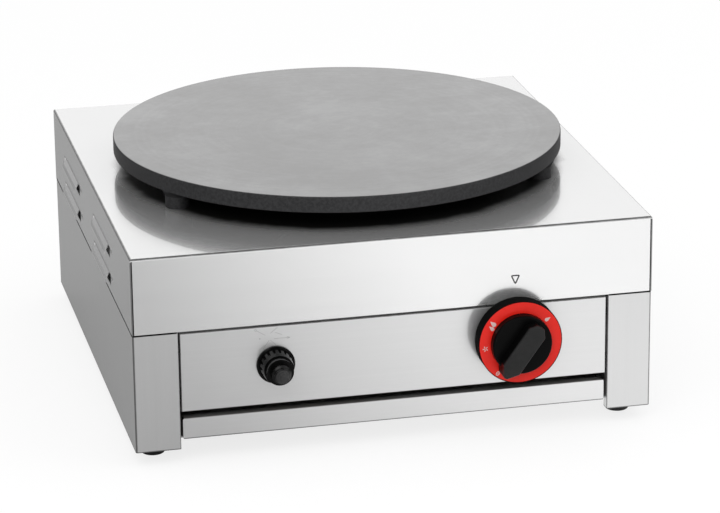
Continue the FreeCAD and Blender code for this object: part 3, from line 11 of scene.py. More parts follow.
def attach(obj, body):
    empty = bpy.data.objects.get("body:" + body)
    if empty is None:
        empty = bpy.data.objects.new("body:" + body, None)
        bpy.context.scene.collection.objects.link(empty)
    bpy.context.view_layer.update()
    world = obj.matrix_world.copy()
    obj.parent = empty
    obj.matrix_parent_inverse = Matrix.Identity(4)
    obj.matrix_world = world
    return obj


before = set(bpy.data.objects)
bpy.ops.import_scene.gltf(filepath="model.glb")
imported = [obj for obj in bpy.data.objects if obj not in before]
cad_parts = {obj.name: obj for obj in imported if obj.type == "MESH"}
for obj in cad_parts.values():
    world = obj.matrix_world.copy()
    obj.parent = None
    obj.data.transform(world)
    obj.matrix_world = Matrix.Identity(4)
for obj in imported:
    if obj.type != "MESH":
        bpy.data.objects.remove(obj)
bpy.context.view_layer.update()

MM = 0.001

# Camera, worked out from the housing's corners in the photograph
CAMERA_PLACE = (-0.6175, -2.8438, 1.0983)
CAMERA_AIM = (0.0185, -0.0064, 0.0937)
CAMERA_ROLL = -0.647
CAMERA_LENS = 169.8
CAMERA_SENSOR = 36.0
CAMERA_CLIP = (0.1, 50.0)

# Floor: size in metres, colour, share of plain white to the camera, and that white
FLOOR_HALF = 6.0
PAPER = 0.78
PAPER_TO_CAMERA = 0.72
PAPER_WHITE = 1.1

# Floor as polished metal shows it, along X: slope, limits, and (from, to, start, end) at its ends
SHEEN_MIDDLE = 0.70
SHEEN_SLOPE = 3.0
SHEEN_LOW = 0.24
SHEEN_HIGH = 1.1
SHEEN_RIGHT_END = (0.5, 0.7, 1.0, 0.1)
SHEEN_LEFT_END = (-0.75, -0.4, 0.3, 1.0)

# Room by direction, as (from, to, start, end): its light along Z, and what polished metal shows
ROOM_LIGHT = (0.0, 0.8, 0.12, 1.0)
ROOM_LEFT = (-0.6, 0.0, 0.2, 0.9)
ROOM_RIGHT = (0.5, 0.9, 1.0, 0.3)
ROOM_CEILING = (0.45, 0.85, 1.0, 0.16)

# Lamps: place, size in metres, watts
LAMP_AIM = (0.0, 0.0, 0.1)
LAMPS = {
    "front_softbox": ((-1.2, -2.3, 2.2), 2.4, 24.0),
    "right_softbox": ((2.0, -1.0, 1.8), 2.2, 8.0),
}

# Knob and lighter axes, and the faces that carry marks, in millimetres
KNOB_AXIS = (104.0, 88.5)
LIGHTER_AXIS = (-104.0, 81.5)
BUTTON_FRONT = -255.0
RING_FACE = -243.2
RING_SHEET = 1.2
RING_RADIUS = 36.5
HOUSING_HALF = 225.0
SEAM_HEIGHT = 117.5
COVER_FRONT = -225.0
PANEL_FRONT = -224.0
REAR_SCREW_FACE = 227.4
MARK_THICKNESS = 0.12
MARK_SINK = 0.02


class Graph:
    """Adds shader nodes to one tree and joins them by their sockets."""

    def __init__(self, tree):
        self.tree = tree

    def feed(self, socket, value):
        """Links a socket to another, or sets a constant on it."""
        if isinstance(value, bpy.types.NodeSocket):
            self.tree.links.new(value, socket)
        elif hasattr(socket.default_value, "__len__") and not hasattr(value, "__len__"):
            socket.default_value = [value] * len(socket.default_value)
        else:
            socket.default_value = value

    def add(self, kind, inputs=None, **settings):
        """A node of the given kind, with its settings and its inputs by name or number."""
        made = self.tree.nodes.new(kind)
        for key, value in settings.items():
            setattr(made, key, value)
        for key, value in (inputs or {}).items():
            self.feed(made.inputs[key], value)
        return made

    def sum(self, operation, first, second=0.0, third=0.5):
        """One arithmetic step on two numbers, or on three where the step takes as many."""
        return self.add("ShaderNodeMath", {0: first, 1: second, 2: third},
                        operation=operation).outputs[0]

    def between(self, value, low, high, to_low=0.0, to_high=1.0):
        """Smoothly carries a value from low..high to to_low..to_high."""
        made = self.add("ShaderNodeMapRange", interpolation_type="SMOOTHSTEP")
        for key, number in zip(("Value", "From Min", "From Max", "To Min", "To Max"),
                               (value, low, high, to_low, to_high)):
            self.feed(made.inputs[key], number)
        return made.outputs["Result"]

    def blend(self, factor, first, second):
        """Colour mix from first to second."""
        made = self.add("ShaderNodeMix", data_type="RGBA")
        self.feed(made.inputs[0], factor)
        self.feed(made.inputs[6], first)
        self.feed(made.inputs[7], second)
        return made.outputs[2]

    def mix(self, factor, first, second):
        """Number mix from first to second."""
        return self.add("ShaderNodeMix", {0: factor, 2: first, 3: second}).outputs[0]

    def noise(self, vector, scale, detail=3.0, roughness=0.55):
        """Fractal noise from 0 to 1."""
        return self.add("ShaderNodeTexNoise", {"Vector": vector, "Scale": scale, "Detail": detail,
                                               "Roughness": roughness}).outputs["Fac"]

    def parts(self, vector):
        """The three parts of a vector."""
        return self.add("ShaderNodeSeparateXYZ", {0: vector}).outputs

    def vector_sum(self, operation, *vectors):
        """One step on vectors, whose outputs hold a vector and a number."""
        return self.add("ShaderNodeVectorMath", dict(enumerate(vectors)),
                        operation=operation).outputs

    def flat(self, place):
        """A point moved down onto the floor plane."""
        return self.vector_sum("MULTIPLY", place, (1.0, 1.0, 0.0))[0]

    def effect(self, name, **inputs):
        """Places a shared effect, with its own values."""
        made = self.tree.nodes.new("ShaderNodeGroup")
        made.node_tree = EFFECTS[name]
        for key, value in inputs.items():
            self.feed(made.inputs[key], value)
        return made.outputs


def empty_graph(owner):
    """The node tree of a material or world, with nothing in it yet."""
    owner.use_nodes = True
    owner.node_tree.nodes.clear()
    return Graph(owner.node_tree)


def rgba(colour):
    """A grey level or three channels as a shader colour."""
    channels = (colour,) * 3 if isinstance(colour, (int, float)) else colour
    return (*channels, 1.0)


def new_effect(name, inputs, outputs):
    """An empty node group with named inputs and outputs: (group, graph, inputs, outputs)."""
    group = bpy.data.node_groups.new(name, "ShaderNodeTree")
    for key, kind in inputs.items():
        group.interface.new_socket(key, in_out="INPUT", socket_type=kind)
    for key in outputs:
        group.interface.new_socket(key, in_out="OUTPUT", socket_type="NodeSocketFloat")
    graph = Graph(group)
    taken = graph.add("NodeGroupInput").outputs
    given = graph.add("NodeGroupOutput").inputs
    return group, graph, taken, given


def make_brushed_lines():
    """Fine and broad streaks of noise that is stretched along the brushing, from 0 to 1."""
    group, graph, taken, given = new_effect(
        "brushed_lines", {"Vector": "NodeSocketVector", "Stretch": "NodeSocketVector"}, ["Streak"])
    drawn = graph.vector_sum("MULTIPLY", taken["Vector"], taken["Stretch"])[0]
    fine = graph.noise(drawn, 1.0, 4.0, 0.7)
    broad = graph.noise(drawn, 0.13, 2.0)
    both = graph.sum("MULTIPLY_ADD", fine, 0.6, graph.sum("MULTIPLY", broad, 0.4))
    graph.feed(given["Streak"], both)
    return group


def make_wipe_marks():
    """Slow clouds with finer ones on them, as a wiped sheet keeps, from 0 to 1."""
    group, graph, taken, given = new_effect(
        "wipe_marks", {"Vector": "NodeSocketVector", "Scale": "NodeSocketFloat"}, ["Cloud"])
    slow = graph.noise(taken["Vector"], taken["Scale"], 2.0)
    quick = graph.noise(taken["Vector"], graph.sum("MULTIPLY", taken["Scale"], 7.0), 3.0, 0.65)
    both = graph.sum("MULTIPLY_ADD", slow, 0.65, graph.sum("MULTIPLY", quick, 0.35))
    graph.feed(given["Cloud"], graph.between(both, 0.3, 0.7))
    return group


def make_box_edges():
    """1 at the edges of a box and 0 away from them.

    Each axis gives a distance to its nearer face, and the second least of the three is the
    distance along the surface to the nearest edge. Noise breaks the line up.
    """
    group, graph, taken, given = new_effect(
        "box_edges", {"Vector": "NodeSocketVector", "Centre": "NodeSocketVector",
                      "Half": "NodeSocketVector", "Width": "NodeSocketFloat"}, ["Edge"])
    moved = graph.vector_sum("SUBTRACT", taken["Vector"], taken["Centre"])[0]
    far = graph.vector_sum("ABSOLUTE", moved)[0]
    x, y, z = graph.parts(graph.vector_sum("SUBTRACT", taken["Half"], far)[0])
    least = graph.sum("MINIMUM", graph.sum("MINIMUM", x, y), z)
    most = graph.sum("MAXIMUM", graph.sum("MAXIMUM", x, y), z)
    whole = graph.sum("ADD", graph.sum("ADD", x, y), z)
    second = graph.sum("SUBTRACT", graph.sum("SUBTRACT", whole, least), most)
    ragged = graph.between(graph.noise(taken["Vector"], 220.0, 3.0), 0.35, 0.65, 0.35, 1.0)
    reach = graph.sum("MULTIPLY", taken["Width"], ragged)
    share = graph.sum("DIVIDE", second, reach)
    graph.feed(given["Edge"], graph.between(share, 0.0, 1.0, 1.0, 0.0))
    return group


def make_fold_lines():
    """1 on the rounded folds between flat faces and 0 on the faces, told from the normal.

    A flat face's normal lies along one axis, so the products of its parts are all nought.
    """
    group, graph, taken, given = new_effect(
        "fold_lines", {"Vector": "NodeSocketVector", "Normal": "NodeSocketVector"}, ["Fold"])
    x, y, z = graph.parts(taken["Normal"])
    pairs = [graph.sum("ABSOLUTE", graph.sum("MULTIPLY", *pair))
             for pair in ((x, y), (y, z), (z, x))]
    slanted = graph.sum("ADD", graph.sum("ADD", pairs[0], pairs[1]), pairs[2])
    ragged = graph.between(graph.noise(taken["Vector"], 160.0, 3.0), 0.3, 0.7, 0.8, 1.0)
    graph.feed(given["Fold"], graph.sum("MULTIPLY", graph.between(slanted, 0.12, 0.4), ragged))
    return group


def make_cast_skin():
    """Sand-cast skin: rounded lumps with fine grains between them, as a height and a shade."""
    group, graph, taken, given = new_effect(
        "cast_skin", {"Vector": "NodeSocketVector", "Scale": "NodeSocketFloat"},
        ["Height", "Shade"])
    lumps = graph.noise(taken["Vector"], taken["Scale"], 4.0, 0.6)
    grains = graph.add("ShaderNodeTexVoronoi", {
        "Vector": taken["Vector"], "Scale": graph.sum("MULTIPLY", taken["Scale"], 2.2)},
        feature="SMOOTH_F1").outputs["Distance"]
    both = graph.sum("MULTIPLY_ADD", lumps, 0.7, graph.sum("MULTIPLY", grains, 0.4))
    graph.feed(given["Height"], both)
    graph.feed(given["Shade"], graph.between(lumps, 0.35, 0.65))
    return group


def make_lathe_rings():
    """Rings about a turned axis: a sine of the distance from it, shaken by a little noise."""
    group, graph, taken, given = new_effect(
        "lathe_rings", {"Vector": "NodeSocketVector", "Pitch": "NodeSocketFloat"},
        ["Height", "Band"])
    away = graph.vector_sum("LENGTH", taken["Vector"])[1]
    shaken = graph.sum("MULTIPLY_ADD", graph.noise(taken["Vector"], 9.0, 2.0), 0.0006, away)
    turns = graph.sum("DIVIDE", shaken, taken["Pitch"])
    wave = graph.sum("SINE", graph.sum("MULTIPLY", turns, math.tau))
    graph.feed(given["Height"], graph.sum("MULTIPLY_ADD", wave, 0.5, 0.5))
    rings = graph.add("ShaderNodeCombineXYZ", {0: graph.sum("MULTIPLY", away, 160.0)}).outputs[0]
    graph.feed(given["Band"], graph.noise(rings, 1.0, 3.0, 0.7))
    return group


EFFECTS = {
    "lines": make_brushed_lines(),
    "wipes": make_wipe_marks(),
    "edges": make_box_edges(),
    "folds": make_fold_lines(),
    "cast": make_cast_skin(),
    "rings": make_lathe_rings(),
}


def start_material(name):
    """A material with one Principled BSDF: (material, graph, shader, place, normal)."""
    material = bpy.data.materials.new(name)
    graph = empty_graph(material)
    shader = graph.add("ShaderNodeBsdfPrincipled")
    graph.add("ShaderNodeOutputMaterial", {"Surface": shader.outputs[0]})
    coordinates = graph.add("ShaderNodeTexCoord").outputs
    return material, graph, shader, coordinates["Object"], coordinates["Normal"]


def set_inputs(graph, shader, **values):
    """Feeds shader sockets, whose names are written with _ for a space."""
    for key, value in values.items():
        graph.feed(shader.inputs[key.replace("_", " ")], value)


def bump(graph, height, distance, strength):
    """A bump normal of the given depth in metres."""
    return graph.add("ShaderNodeBump", {"Height": height, "Distance": distance,
                                        "Strength": strength}).outputs[0]


# Brushing of the steel, as noise stretched along one axis
ALONG_X = (12.0, 2100.0, 2100.0)
ALONG_Y = (2100.0, 12.0, 2100.0)
ALONG_Z = (2100.0, 2100.0, 12.0)

# Shares of the steel sheet's shader
STEEL_METAL = 0.72
FILM_IOR = 2.3
FILM_ROUGHNESS = 0.04

# Painted dark lines on folds, cut edges and lower edges, painted reflection on the folds and
# painted shade at the rest: where they end or begin, in metres, and how they look
PRESSED_FROM = (0.2251, 0.2254)
CORNER_FROM = (0.2236, 0.2239)
CORNER_TOP = (0.1822, 0.1832)
FOOT_LINE = (0.0007, 0.0009)
PAINTED_LINE_TONE = 0.06
PAINTED_LINE_SHARE = 0.8
PAINTED_LINE_FILM = 0.25

# Painted shade on the cover under the plate: a dark ring out from the middle, and the height above
# which it lies
PLATE_SHADE_FADE = (0.195, 0.215)
PLATE_SHADE_UNEVEN = 0.016
PLATE_SHADE_HEIGHT = (0.14, 0.18)
PLATE_SHADE_TONE = 0.02

# Painted shade on the tray behind the inner face of its front strip, and its tone
TRAY_SHADE_FROM = (-0.2222, -0.2205)
TRAY_SHADE_TONE = 0.2


def satin_steel(name, tone, roughness, brushing, flank_brushing=None, edges=None, painted_shade=None,
                foot=None, painted_flank_shade=0.0):
    """Satin sheet steel under a clear, thin film: very fine brushed lines and wiped clouds.

    The film keeps a sharp, weak reflection over the steel's broad one, as new sheet has. The
    flanks are brushed along the housing and painted darker, as painted shade. A given function
    may add painted shade: it gives a mask of where, and how dark it is there. Folds and cut
    corners are painted dark grey, and so is the lower edge at the height foot: painted reflection
    on the folds and painted shade at the corners and the lower edge.
    """
    material, graph, shader, place, normal = start_material(name)
    streak = graph.effect("lines", Vector=place, Stretch=brushing)["Streak"]
    if flank_brushing:
        side = graph.effect("lines", Vector=place, Stretch=flank_brushing)["Streak"]
        on_flank = graph.between(graph.sum("ABSOLUTE", graph.parts(normal)[0]), 0.6, 0.8)
        streak = graph.mix(on_flank, streak, side)
    cloud = graph.effect("wipes", Vector=place, Scale=4.0)["Cloud"]
    shade = graph.between(streak, 0.25, 0.75)
    colour = graph.blend(shade, rgba(tone * 0.975), rgba(tone * 1.02))
    colour = graph.blend(graph.sum("MULTIPLY", cloud, 0.3), colour,
                         rgba((tone * 0.95, tone * 0.955, tone * 0.96)))
    gloss = graph.between(shade, 0.0, 1.0, roughness * 0.93, roughness * 1.07)
    gloss = graph.sum("ADD", gloss, graph.sum("MULTIPLY", cloud, 0.03))
    if edges:
        colour = graph.blend(graph.sum("MULTIPLY", worn_edges(graph, place, edges), 0.4), colour,
                             rgba(min(1.0, tone * 1.1)))
    # Painted shade: the flanks are painted darker, towards black.
    if flank_brushing:
        colour = graph.blend(graph.sum("MULTIPLY", on_flank, painted_flank_shade), colour, rgba(0.0))
    # Painted reflection on the folds and painted shade at open corners and the lower edge: these
    # lines are painted dark grey, with less film.
    line = painted_dark_lines(graph, place, normal, foot)
    colour = graph.blend(graph.sum("MULTIPLY", line, PAINTED_LINE_SHARE), colour, rgba(PAINTED_LINE_TONE))
    film = graph.between(line, 0.0, 1.0, 1.0, PAINTED_LINE_FILM)
    # Painted shade: where the given mask says, the steel is painted darker and loses most of its
    # film.
    if painted_shade:
        mask, dark = painted_shade(graph, place)
        painted_shade_colour = graph.blend(cloud, rgba((dark, dark * 0.93, dark * 0.86)), rgba(dark * 1.6))
        colour = graph.blend(mask, colour, painted_shade_colour)
        gloss = graph.mix(mask, gloss, 0.55)
        film = graph.sum("MULTIPLY", film, graph.between(mask, 0.0, 1.0, 1.0, 0.1))
    set_inputs(graph, shader, Base_Color=colour, Roughness=gloss, Metallic=STEEL_METAL,
               Coat_Weight=film, Coat_Roughness=FILM_ROUGHNESS, Coat_IOR=FILM_IOR,
               Normal=bump(graph, streak, 0.000004, 0.5))
    return material


def worn_edges(graph, place, edges):
    """The worn edges of a box that is given by its centre, half sizes and width of wear."""
    centre, half, width = edges
    return graph.effect("edges", Vector=place, Centre=centre, Half=half, Width=width)["Edge"]


def painted_dark_lines(graph, place, normal, foot):
    """Mask of painted dark lines where sheet is folded or cut: 1 on flat sheet's folds, at open
    corners and at a lower edge.

    What lies past the flat sides, such as the pressed louvres, isn't taken for a fold.
    """
    fold = graph.effect("folds", Vector=place, Normal=normal)["Fold"]
    across, along, up = graph.parts(place)
    across, along = graph.sum("ABSOLUTE", across), graph.sum("ABSOLUTE", along)
    unpressed = graph.between(across, *PRESSED_FROM, 1.0, 0.0)
    cut = graph.sum("MULTIPLY", graph.between(across, *CORNER_FROM),
                    graph.between(along, *CORNER_FROM))
    cut = graph.sum("MULTIPLY", cut, graph.between(up, *CORNER_TOP, 1.0, 0.0))
    line = graph.sum("MAXIMUM", graph.sum("MULTIPLY", fold, unpressed), cut)
    if not foot:
        return line
    upright = graph.sum("ABSOLUTE", graph.parts(normal)[2])
    above = [foot + rise for rise in FOOT_LINE]
    low = graph.sum("MULTIPLY", graph.between(up, *above, 1.0, 0.0),
                    graph.between(upright, 0.3, 0.6, 1.0, 0.0))
    return graph.sum("MAXIMUM", line, low)


def painted_shade_under_plate(graph, place):
    """Painted shade on the cover under the plate, where the plate shades it: 1 there, and 0 past
    the plate's rim.
    """
    away = graph.vector_sum("LENGTH", graph.flat(place))[1]
    uneven = graph.sum("MULTIPLY_ADD", graph.noise(place, 26.0), PLATE_SHADE_UNEVEN, away)
    ring = graph.between(uneven, *PLATE_SHADE_FADE, 1.0, 0.0)
    high = graph.between(graph.parts(place)[2], *PLATE_SHADE_HEIGHT)
    return graph.sum("MULTIPLY", ring, high), PLATE_SHADE_TONE


def painted_shade_in_tray(graph, place):
    """Painted shade on the inside of the tray behind its front strip, so that the slot above the
    strip reads dark.
    """
    return graph.between(graph.parts(place)[1], *TRAY_SHADE_FROM), TRAY_SHADE_TONE


def zinc_steel(name, tone, roughness, bloom):
    """Zinc plate: crystals of slightly different grey, with a dull white bloom in patches."""
    material, graph, shader, place, _ = start_material(name)
    flakes = graph.add("ShaderNodeTexVoronoi", {"Vector": place, "Scale": 160.0}).outputs["Color"]
    grey = graph.add("ShaderNodeSeparateColor", {0: flakes}).outputs[0]
    cloud = graph.effect("wipes", Vector=place, Scale=14.0)["Cloud"]
    colour = graph.blend(grey, rgba((tone * 0.9, tone * 0.92, tone * 0.95)), rgba(tone * 1.08))
    colour = graph.blend(graph.sum("MULTIPLY", cloud, bloom), colour, rgba(tone * 0.72))
    gloss = graph.between(graph.sum("MULTIPLY_ADD", cloud, 0.5, 0.5), 0.0, 1.0, roughness - 0.08,
                          roughness + 0.1)
    set_inputs(graph, shader, Base_Color=colour, Roughness=gloss, Metallic=1.0,
               Normal=bump(graph, cloud, 0.0001, 0.3))
    return material


def plate_iron():
    """Cast plate: a turned and oiled top over a black, sand-cast rim, with the underside painted
    near black as painted shade.
    """
    material, graph, shader, place, normal = start_material("plate_iron")
    facing = graph.parts(normal)[2]
    top = graph.between(facing, 0.75, 0.97)
    underside_painted_shade = graph.between(facing, -0.7, -0.2, 1.0, 0.0)
    rings = graph.effect("rings", Vector=graph.flat(place), Pitch=0.0007)
    skin = graph.effect("cast", Vector=place, Scale=420.0)
    cloud = graph.effect("wipes", Vector=place, Scale=9.0)["Cloud"]
    turned = graph.blend(graph.between(rings["Band"], 0.2, 0.8), rgba((0.325, 0.325, 0.327)),
                         rgba((0.355, 0.355, 0.357)))
    baked = graph.blend(graph.sum("MULTIPLY", cloud, 0.4), turned, rgba((0.14, 0.134, 0.128)))
    rim = graph.blend(skin["Shade"], rgba((0.027, 0.027, 0.028)), rgba((0.046, 0.046, 0.048)))
    # Painted shade: faces turned downwards are painted near black.
    rim = graph.blend(underside_painted_shade, rim, rgba(0.002))
    gloss_top = graph.between(graph.sum("ADD", cloud, 0.5), 0.0, 1.0, 0.3, 0.4)
    gloss_side = graph.mix(underside_painted_shade, graph.between(skin["Shade"], 0.0, 1.0, 0.46, 0.58), 0.95)
    height = graph.mix(top, skin["Height"], graph.sum("MULTIPLY", rings["Height"], 0.03))
    set_inputs(graph, shader, Base_Color=graph.blend(top, rim, baked),
               Roughness=graph.mix(top, gloss_side, gloss_top),
               Metallic=graph.sum("MULTIPLY", top, 0.9), Specular_IOR_Level=0.25,
               Coat_Weight=top, Coat_Roughness=0.22, Coat_IOR=1.6,
               Normal=bump(graph, height, 0.00012, 0.5))
    return material


def burner_steel():
    """Pressed burner metal, tinted by heat: straw and blue towards the flame slots at the tips."""
    material, graph, shader, place, _ = start_material("burner_heat_grey")
    away = graph.vector_sum("LENGTH", graph.flat(place))[1]
    cloud = graph.effect("wipes", Vector=place, Scale=30.0)["Cloud"]
    heat = graph.sum("ADD", graph.between(away, 0.03, 0.12), graph.sum("MULTIPLY", cloud, 0.3))
    colour = graph.blend(graph.between(heat, 0.1, 0.6), rgba((0.33, 0.33, 0.34)),
                         rgba((0.3, 0.24, 0.16)))
    colour = graph.blend(graph.between(heat, 0.6, 1.2), colour, rgba((0.14, 0.15, 0.2)))
    set_inputs(graph, shader, Base_Color=colour, Metallic=0.9,
               Roughness=graph.between(cloud, 0.0, 1.0, 0.42, 0.6),
               Normal=bump(graph, cloud, 0.0002, 0.3))
    return material


def turned_metal(name, tone, tarnish, roughness):
    """Turned brass or drawn copper with soft tarnish and fine tool lines."""
    material, graph, shader, place, _ = start_material(name)
    cloud = graph.effect("wipes", Vector=place, Scale=60.0)["Cloud"]
    lines = graph.effect("lines", Vector=place, Stretch=(200.0, 1500.0, 200.0))
    colour = graph.blend(graph.sum("MULTIPLY", cloud, 0.7), rgba(tone), rgba(tarnish))
    gloss = graph.between(lines["Streak"], 0.3, 0.7, roughness - 0.06, roughness + 0.1)
    set_inputs(graph, shader, Base_Color=colour, Metallic=1.0, Roughness=gloss,
               Normal=bump(graph, lines["Streak"], 0.00003, 0.5))
    return material


def bright_steel():
    """Ground steel pins and tips."""
    material, graph, shader, place, _ = start_material("bright_steel")
    lines = graph.effect("lines", Vector=place, Stretch=(90.0, 1800.0, 90.0))
    shade = graph.between(lines["Streak"], 0.3, 0.7)
    set_inputs(graph, shader, Base_Color=graph.blend(shade, rgba(0.6), rgba(0.72)), Metallic=1.0,
               Roughness=graph.between(shade, 0.0, 1.0, 0.2, 0.32),
               Normal=bump(graph, lines["Streak"], 0.00003, 0.4))
    return material


def moulded_black(name, tone, roughness, grain, specular, edges=None, painted_sheen=None, matt=None):
    """Hard black moulding: fine spark-eroded grain and slightly worn edges.

    A pair of places along Y may add painted sheen: in front of the first, the moulding is painted
    grey as a painted reflection.
    Behind the place matt the moulding is left matt.
    """
    material, graph, shader, place, _ = start_material(name)
    skin = graph.effect("cast", Vector=place, Scale=1400.0)
    cloud = graph.effect("wipes", Vector=place, Scale=35.0)["Cloud"]
    along = graph.parts(place)[1]
    colour = graph.blend(skin["Shade"], rgba(tone), rgba(tone * 1.5))
    if edges:
        colour = graph.blend(graph.sum("MULTIPLY", worn_edges(graph, place, edges), 0.5), colour,
                             rgba(tone * 3.0))
    # Painted sheen: the front of the moulding is painted grey for the reflection its face shows.
    if painted_sheen:
        sheen_mask = graph.sum("MULTIPLY", graph.between(along, *painted_sheen, 1.0, 0.0),
                         graph.between(cloud, 0.0, 1.0, 0.8, 1.0))
        colour = graph.blend(sheen_mask, colour, rgba(0.034))
    gloss = graph.between(cloud, 0.0, 1.0, roughness - 0.05, roughness + 0.08)
    if matt:
        gloss = graph.mix(graph.between(along, matt - 0.0002, matt), gloss, 0.85)
    set_inputs(graph, shader, Base_Color=colour, Specular_IOR_Level=specular, Roughness=gloss,
               Normal=bump(graph, skin["Height"], grain, 0.4))
    return material


def ring_red():
    """Glossy red moulding with faint moulding clouds."""
    material, graph, shader, place, _ = start_material("ring_red")
    cloud = graph.effect("wipes", Vector=place, Scale=40.0)["Cloud"]
    colour = graph.blend(cloud, rgba((0.95, 0.019, 0.010)), rgba((0.88, 0.016, 0.008)))
    skin = graph.effect("cast", Vector=place, Scale=900.0)
    set_inputs(graph, shader, Base_Color=colour, Specular_IOR_Level=0.3,
               Roughness=graph.between(cloud, 0.0, 1.0, 0.3, 0.4),
               Normal=bump(graph, skin["Height"], 0.00001, 0.3))
    return material


def foot_rubber():
    """Matt rubber with dust towards the floor."""
    material, graph, shader, place, _ = start_material("foot_rubber")
    skin = graph.effect("cast", Vector=place, Scale=700.0)
    height = graph.parts(place)[2]
    dust = graph.sum("MULTIPLY", graph.between(height, 0.0, 0.006, 0.35, 0.0), skin["Shade"])
    colour = graph.blend(dust, rgba((0.012, 0.012, 0.012)), rgba((0.1, 0.095, 0.09)))
    set_inputs(graph, shader, Base_Color=colour, Roughness=0.75,
               Normal=bump(graph, skin["Height"], 0.00008, 0.5))
    return material


def lead_rubber():
    """Silicone sleeve with a faint waxy bloom."""
    material, graph, shader, place, _ = start_material("lead_rubber")
    cloud = graph.effect("wipes", Vector=place, Scale=50.0)["Cloud"]
    colour = graph.blend(cloud, rgba((0.03, 0.03, 0.032)), rgba((0.055, 0.055, 0.058)))
    set_inputs(graph, shader, Base_Color=colour,
               Roughness=graph.between(cloud, 0.0, 1.0, 0.5, 0.65))
    return material


def electrode_ceramic():
    """Glazed ceramic body with a steel wire out of its top."""
    material, graph, shader, place, _ = start_material("electrode_ceramic")
    height = graph.parts(place)[2]
    wire = graph.between(height, 0.1625, 0.1635)
    cloud = graph.effect("wipes", Vector=place, Scale=90.0)["Cloud"]
    glaze = graph.blend(cloud, rgba((0.86, 0.84, 0.78)), rgba((0.72, 0.68, 0.6)))
    set_inputs(graph, shader, Base_Color=graph.blend(wire, glaze, rgba(0.45)), Metallic=wire,
               Roughness=graph.between(cloud, 0.0, 1.0, 0.18, 0.32))
    return material


def mark_paint(name, tone, roughness):
    """Printed or etched mark, uneven where the print is thin."""
    material, graph, shader, place, _ = start_material(name)
    cloud = graph.effect("wipes", Vector=place, Scale=300.0)["Cloud"]
    worn = rgba(tuple(0.8 * channel for channel in tone))
    colour = graph.blend(graph.sum("MULTIPLY", cloud, 0.5), rgba(tone), worn)
    set_inputs(graph, shader, Base_Color=colour, Roughness=roughness)
    return material


# Boxes whose edges are worn: centre, half sizes and width of wear, in metres
COVER_EDGES = ((0.0, 0.0, 0.0925), (0.225, 0.225, 0.0925), 0.0012)
KNOB_EDGES = ((0.104, -0.2455, 0.0885), (0.0365, 0.0175, 0.0365), 0.0015)

MATERIALS = {
    # the cover's steel carries painted shade under the plate and painted shade on its flanks
    "cover_steel": satin_steel("cover_steel", 0.95, 0.18, ALONG_X, ALONG_Y, COVER_EDGES, painted_shade_under_plate,
                               painted_flank_shade=0.42),
    "frame_steel": satin_steel("frame_steel", 0.73, 0.34, ALONG_Z, ALONG_Y, foot=0.013,
                               painted_flank_shade=0.2),
    "panel_steel": satin_steel("panel_steel", 0.80, 0.32, ALONG_X),
    # the tray's steel carries painted shade behind its front strip and a painted dark lower edge
    "tray_steel": satin_steel("tray_steel", 0.84, 0.32, ALONG_X, painted_shade=painted_shade_in_tray, foot=0.0212),
    "zinc_steel": zinc_steel("zinc_steel", 0.5, 0.42, 0.4),
    "fastener_steel": zinc_steel("fastener_steel", 0.58, 0.32, 0.2),
    "plate_iron": plate_iron(),
    "burner_heat_grey": burner_steel(),
    "foot_rubber": foot_rubber(),
    "knob_black": moulded_black("knob_black", 0.002, 0.34, 0.00002, 0.06, KNOB_EDGES,
                                (-0.2625, -0.2585), matt=-0.2445),
    "lighter_black": moulded_black("lighter_black", 0.002, 0.13, 0.000005, 0.12),
    "button_black": moulded_black("button_black", 0.002, 0.16, 0.000005, 0.35,
                                  painted_sheen=(-0.2562, -0.2545)),
    # near black, for pieces that stand in as painted shade
    "painted_shade_black": moulded_black("painted_shade_black", 0.003, 0.8, 0.00002, 0.05),
    "spacer_nylon": moulded_black("spacer_nylon", 0.008, 0.6, 0.00002, 0.2),
    "ring_red": ring_red(),
    "bright_steel": bright_steel(),
    "gas_brass": turned_metal("gas_brass", (0.74, 0.56, 0.26), (0.5, 0.36, 0.16), 0.3),
    "copper_pipe": turned_metal("copper_pipe", (0.78, 0.45, 0.3), (0.45, 0.24, 0.16), 0.3),
    "lead_rubber": lead_rubber(),
    "electrode_ceramic": electrode_ceramic(),
}

FINISH_OF = {
    "cover_steel": ["top_cover"],
    "frame_steel": ["side_panel_left", "side_panel_right", "rear_panel"],
    "panel_steel": ["control_panel"],
    "tray_steel": ["drip_tray"],
    "zinc_steel": ["runner_left", "runner_right", "plate_rail_left", "plate_rail_right",
                   "plate_rail_rear", "burner_bar", "mixing_tube", "air_shutter",
                   "electrode_bracket", "valve_bracket"],
    "spacer_nylon": ["panel_spacers"],
    "fastener_steel": ["cover_screws", "rear_screws", "panel_screws", "foot_screws", "foot_nuts",
                       "plate_bolts", "plate_washers", "valve_screws", "igniter_nut"],
    "plate_iron": ["baking_plate"],
    "burner_heat_grey": ["burner_star"],
    "foot_rubber": ["foot_front_left", "foot_front_right", "foot_rear_left", "foot_rear_right"],
    "knob_black": ["knob_body", "piezo_body"],
    "lighter_black": ["igniter_bezel"],
    "button_black": ["igniter_button"],
    "ring_red": ["knob_ring"],
    "bright_steel": ["valve_pusher", "valve_spindle", "thermocouple_tip"],
    "gas_brass": ["injector", "valve_body", "valve_bonnet", "valve_plug", "magnet_unit",
                  "gas_inlet_stub", "inlet_locknut"],
    "copper_pipe": ["burner_pipe", "supply_pipe", "thermocouple_lead"],
    "lead_rubber": ["ignition_lead"],
    "electrode_ceramic": ["spark_electrode"],
}


def dress_frame():
    """Gives every CAD node its finish, on its object's own slots."""
    for finish, names in FINISH_OF.items():
        for name in names:
            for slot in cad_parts[name].material_slots:
                slot.link = "OBJECT"
                slot.material = MATERIALS[finish]


def add_object(name, data):
    """An object that holds the data, in the scene's own collection."""
    made = bpy.data.objects.new(name, data)
    bpy.context.scene.collection.objects.link(made)
    return made


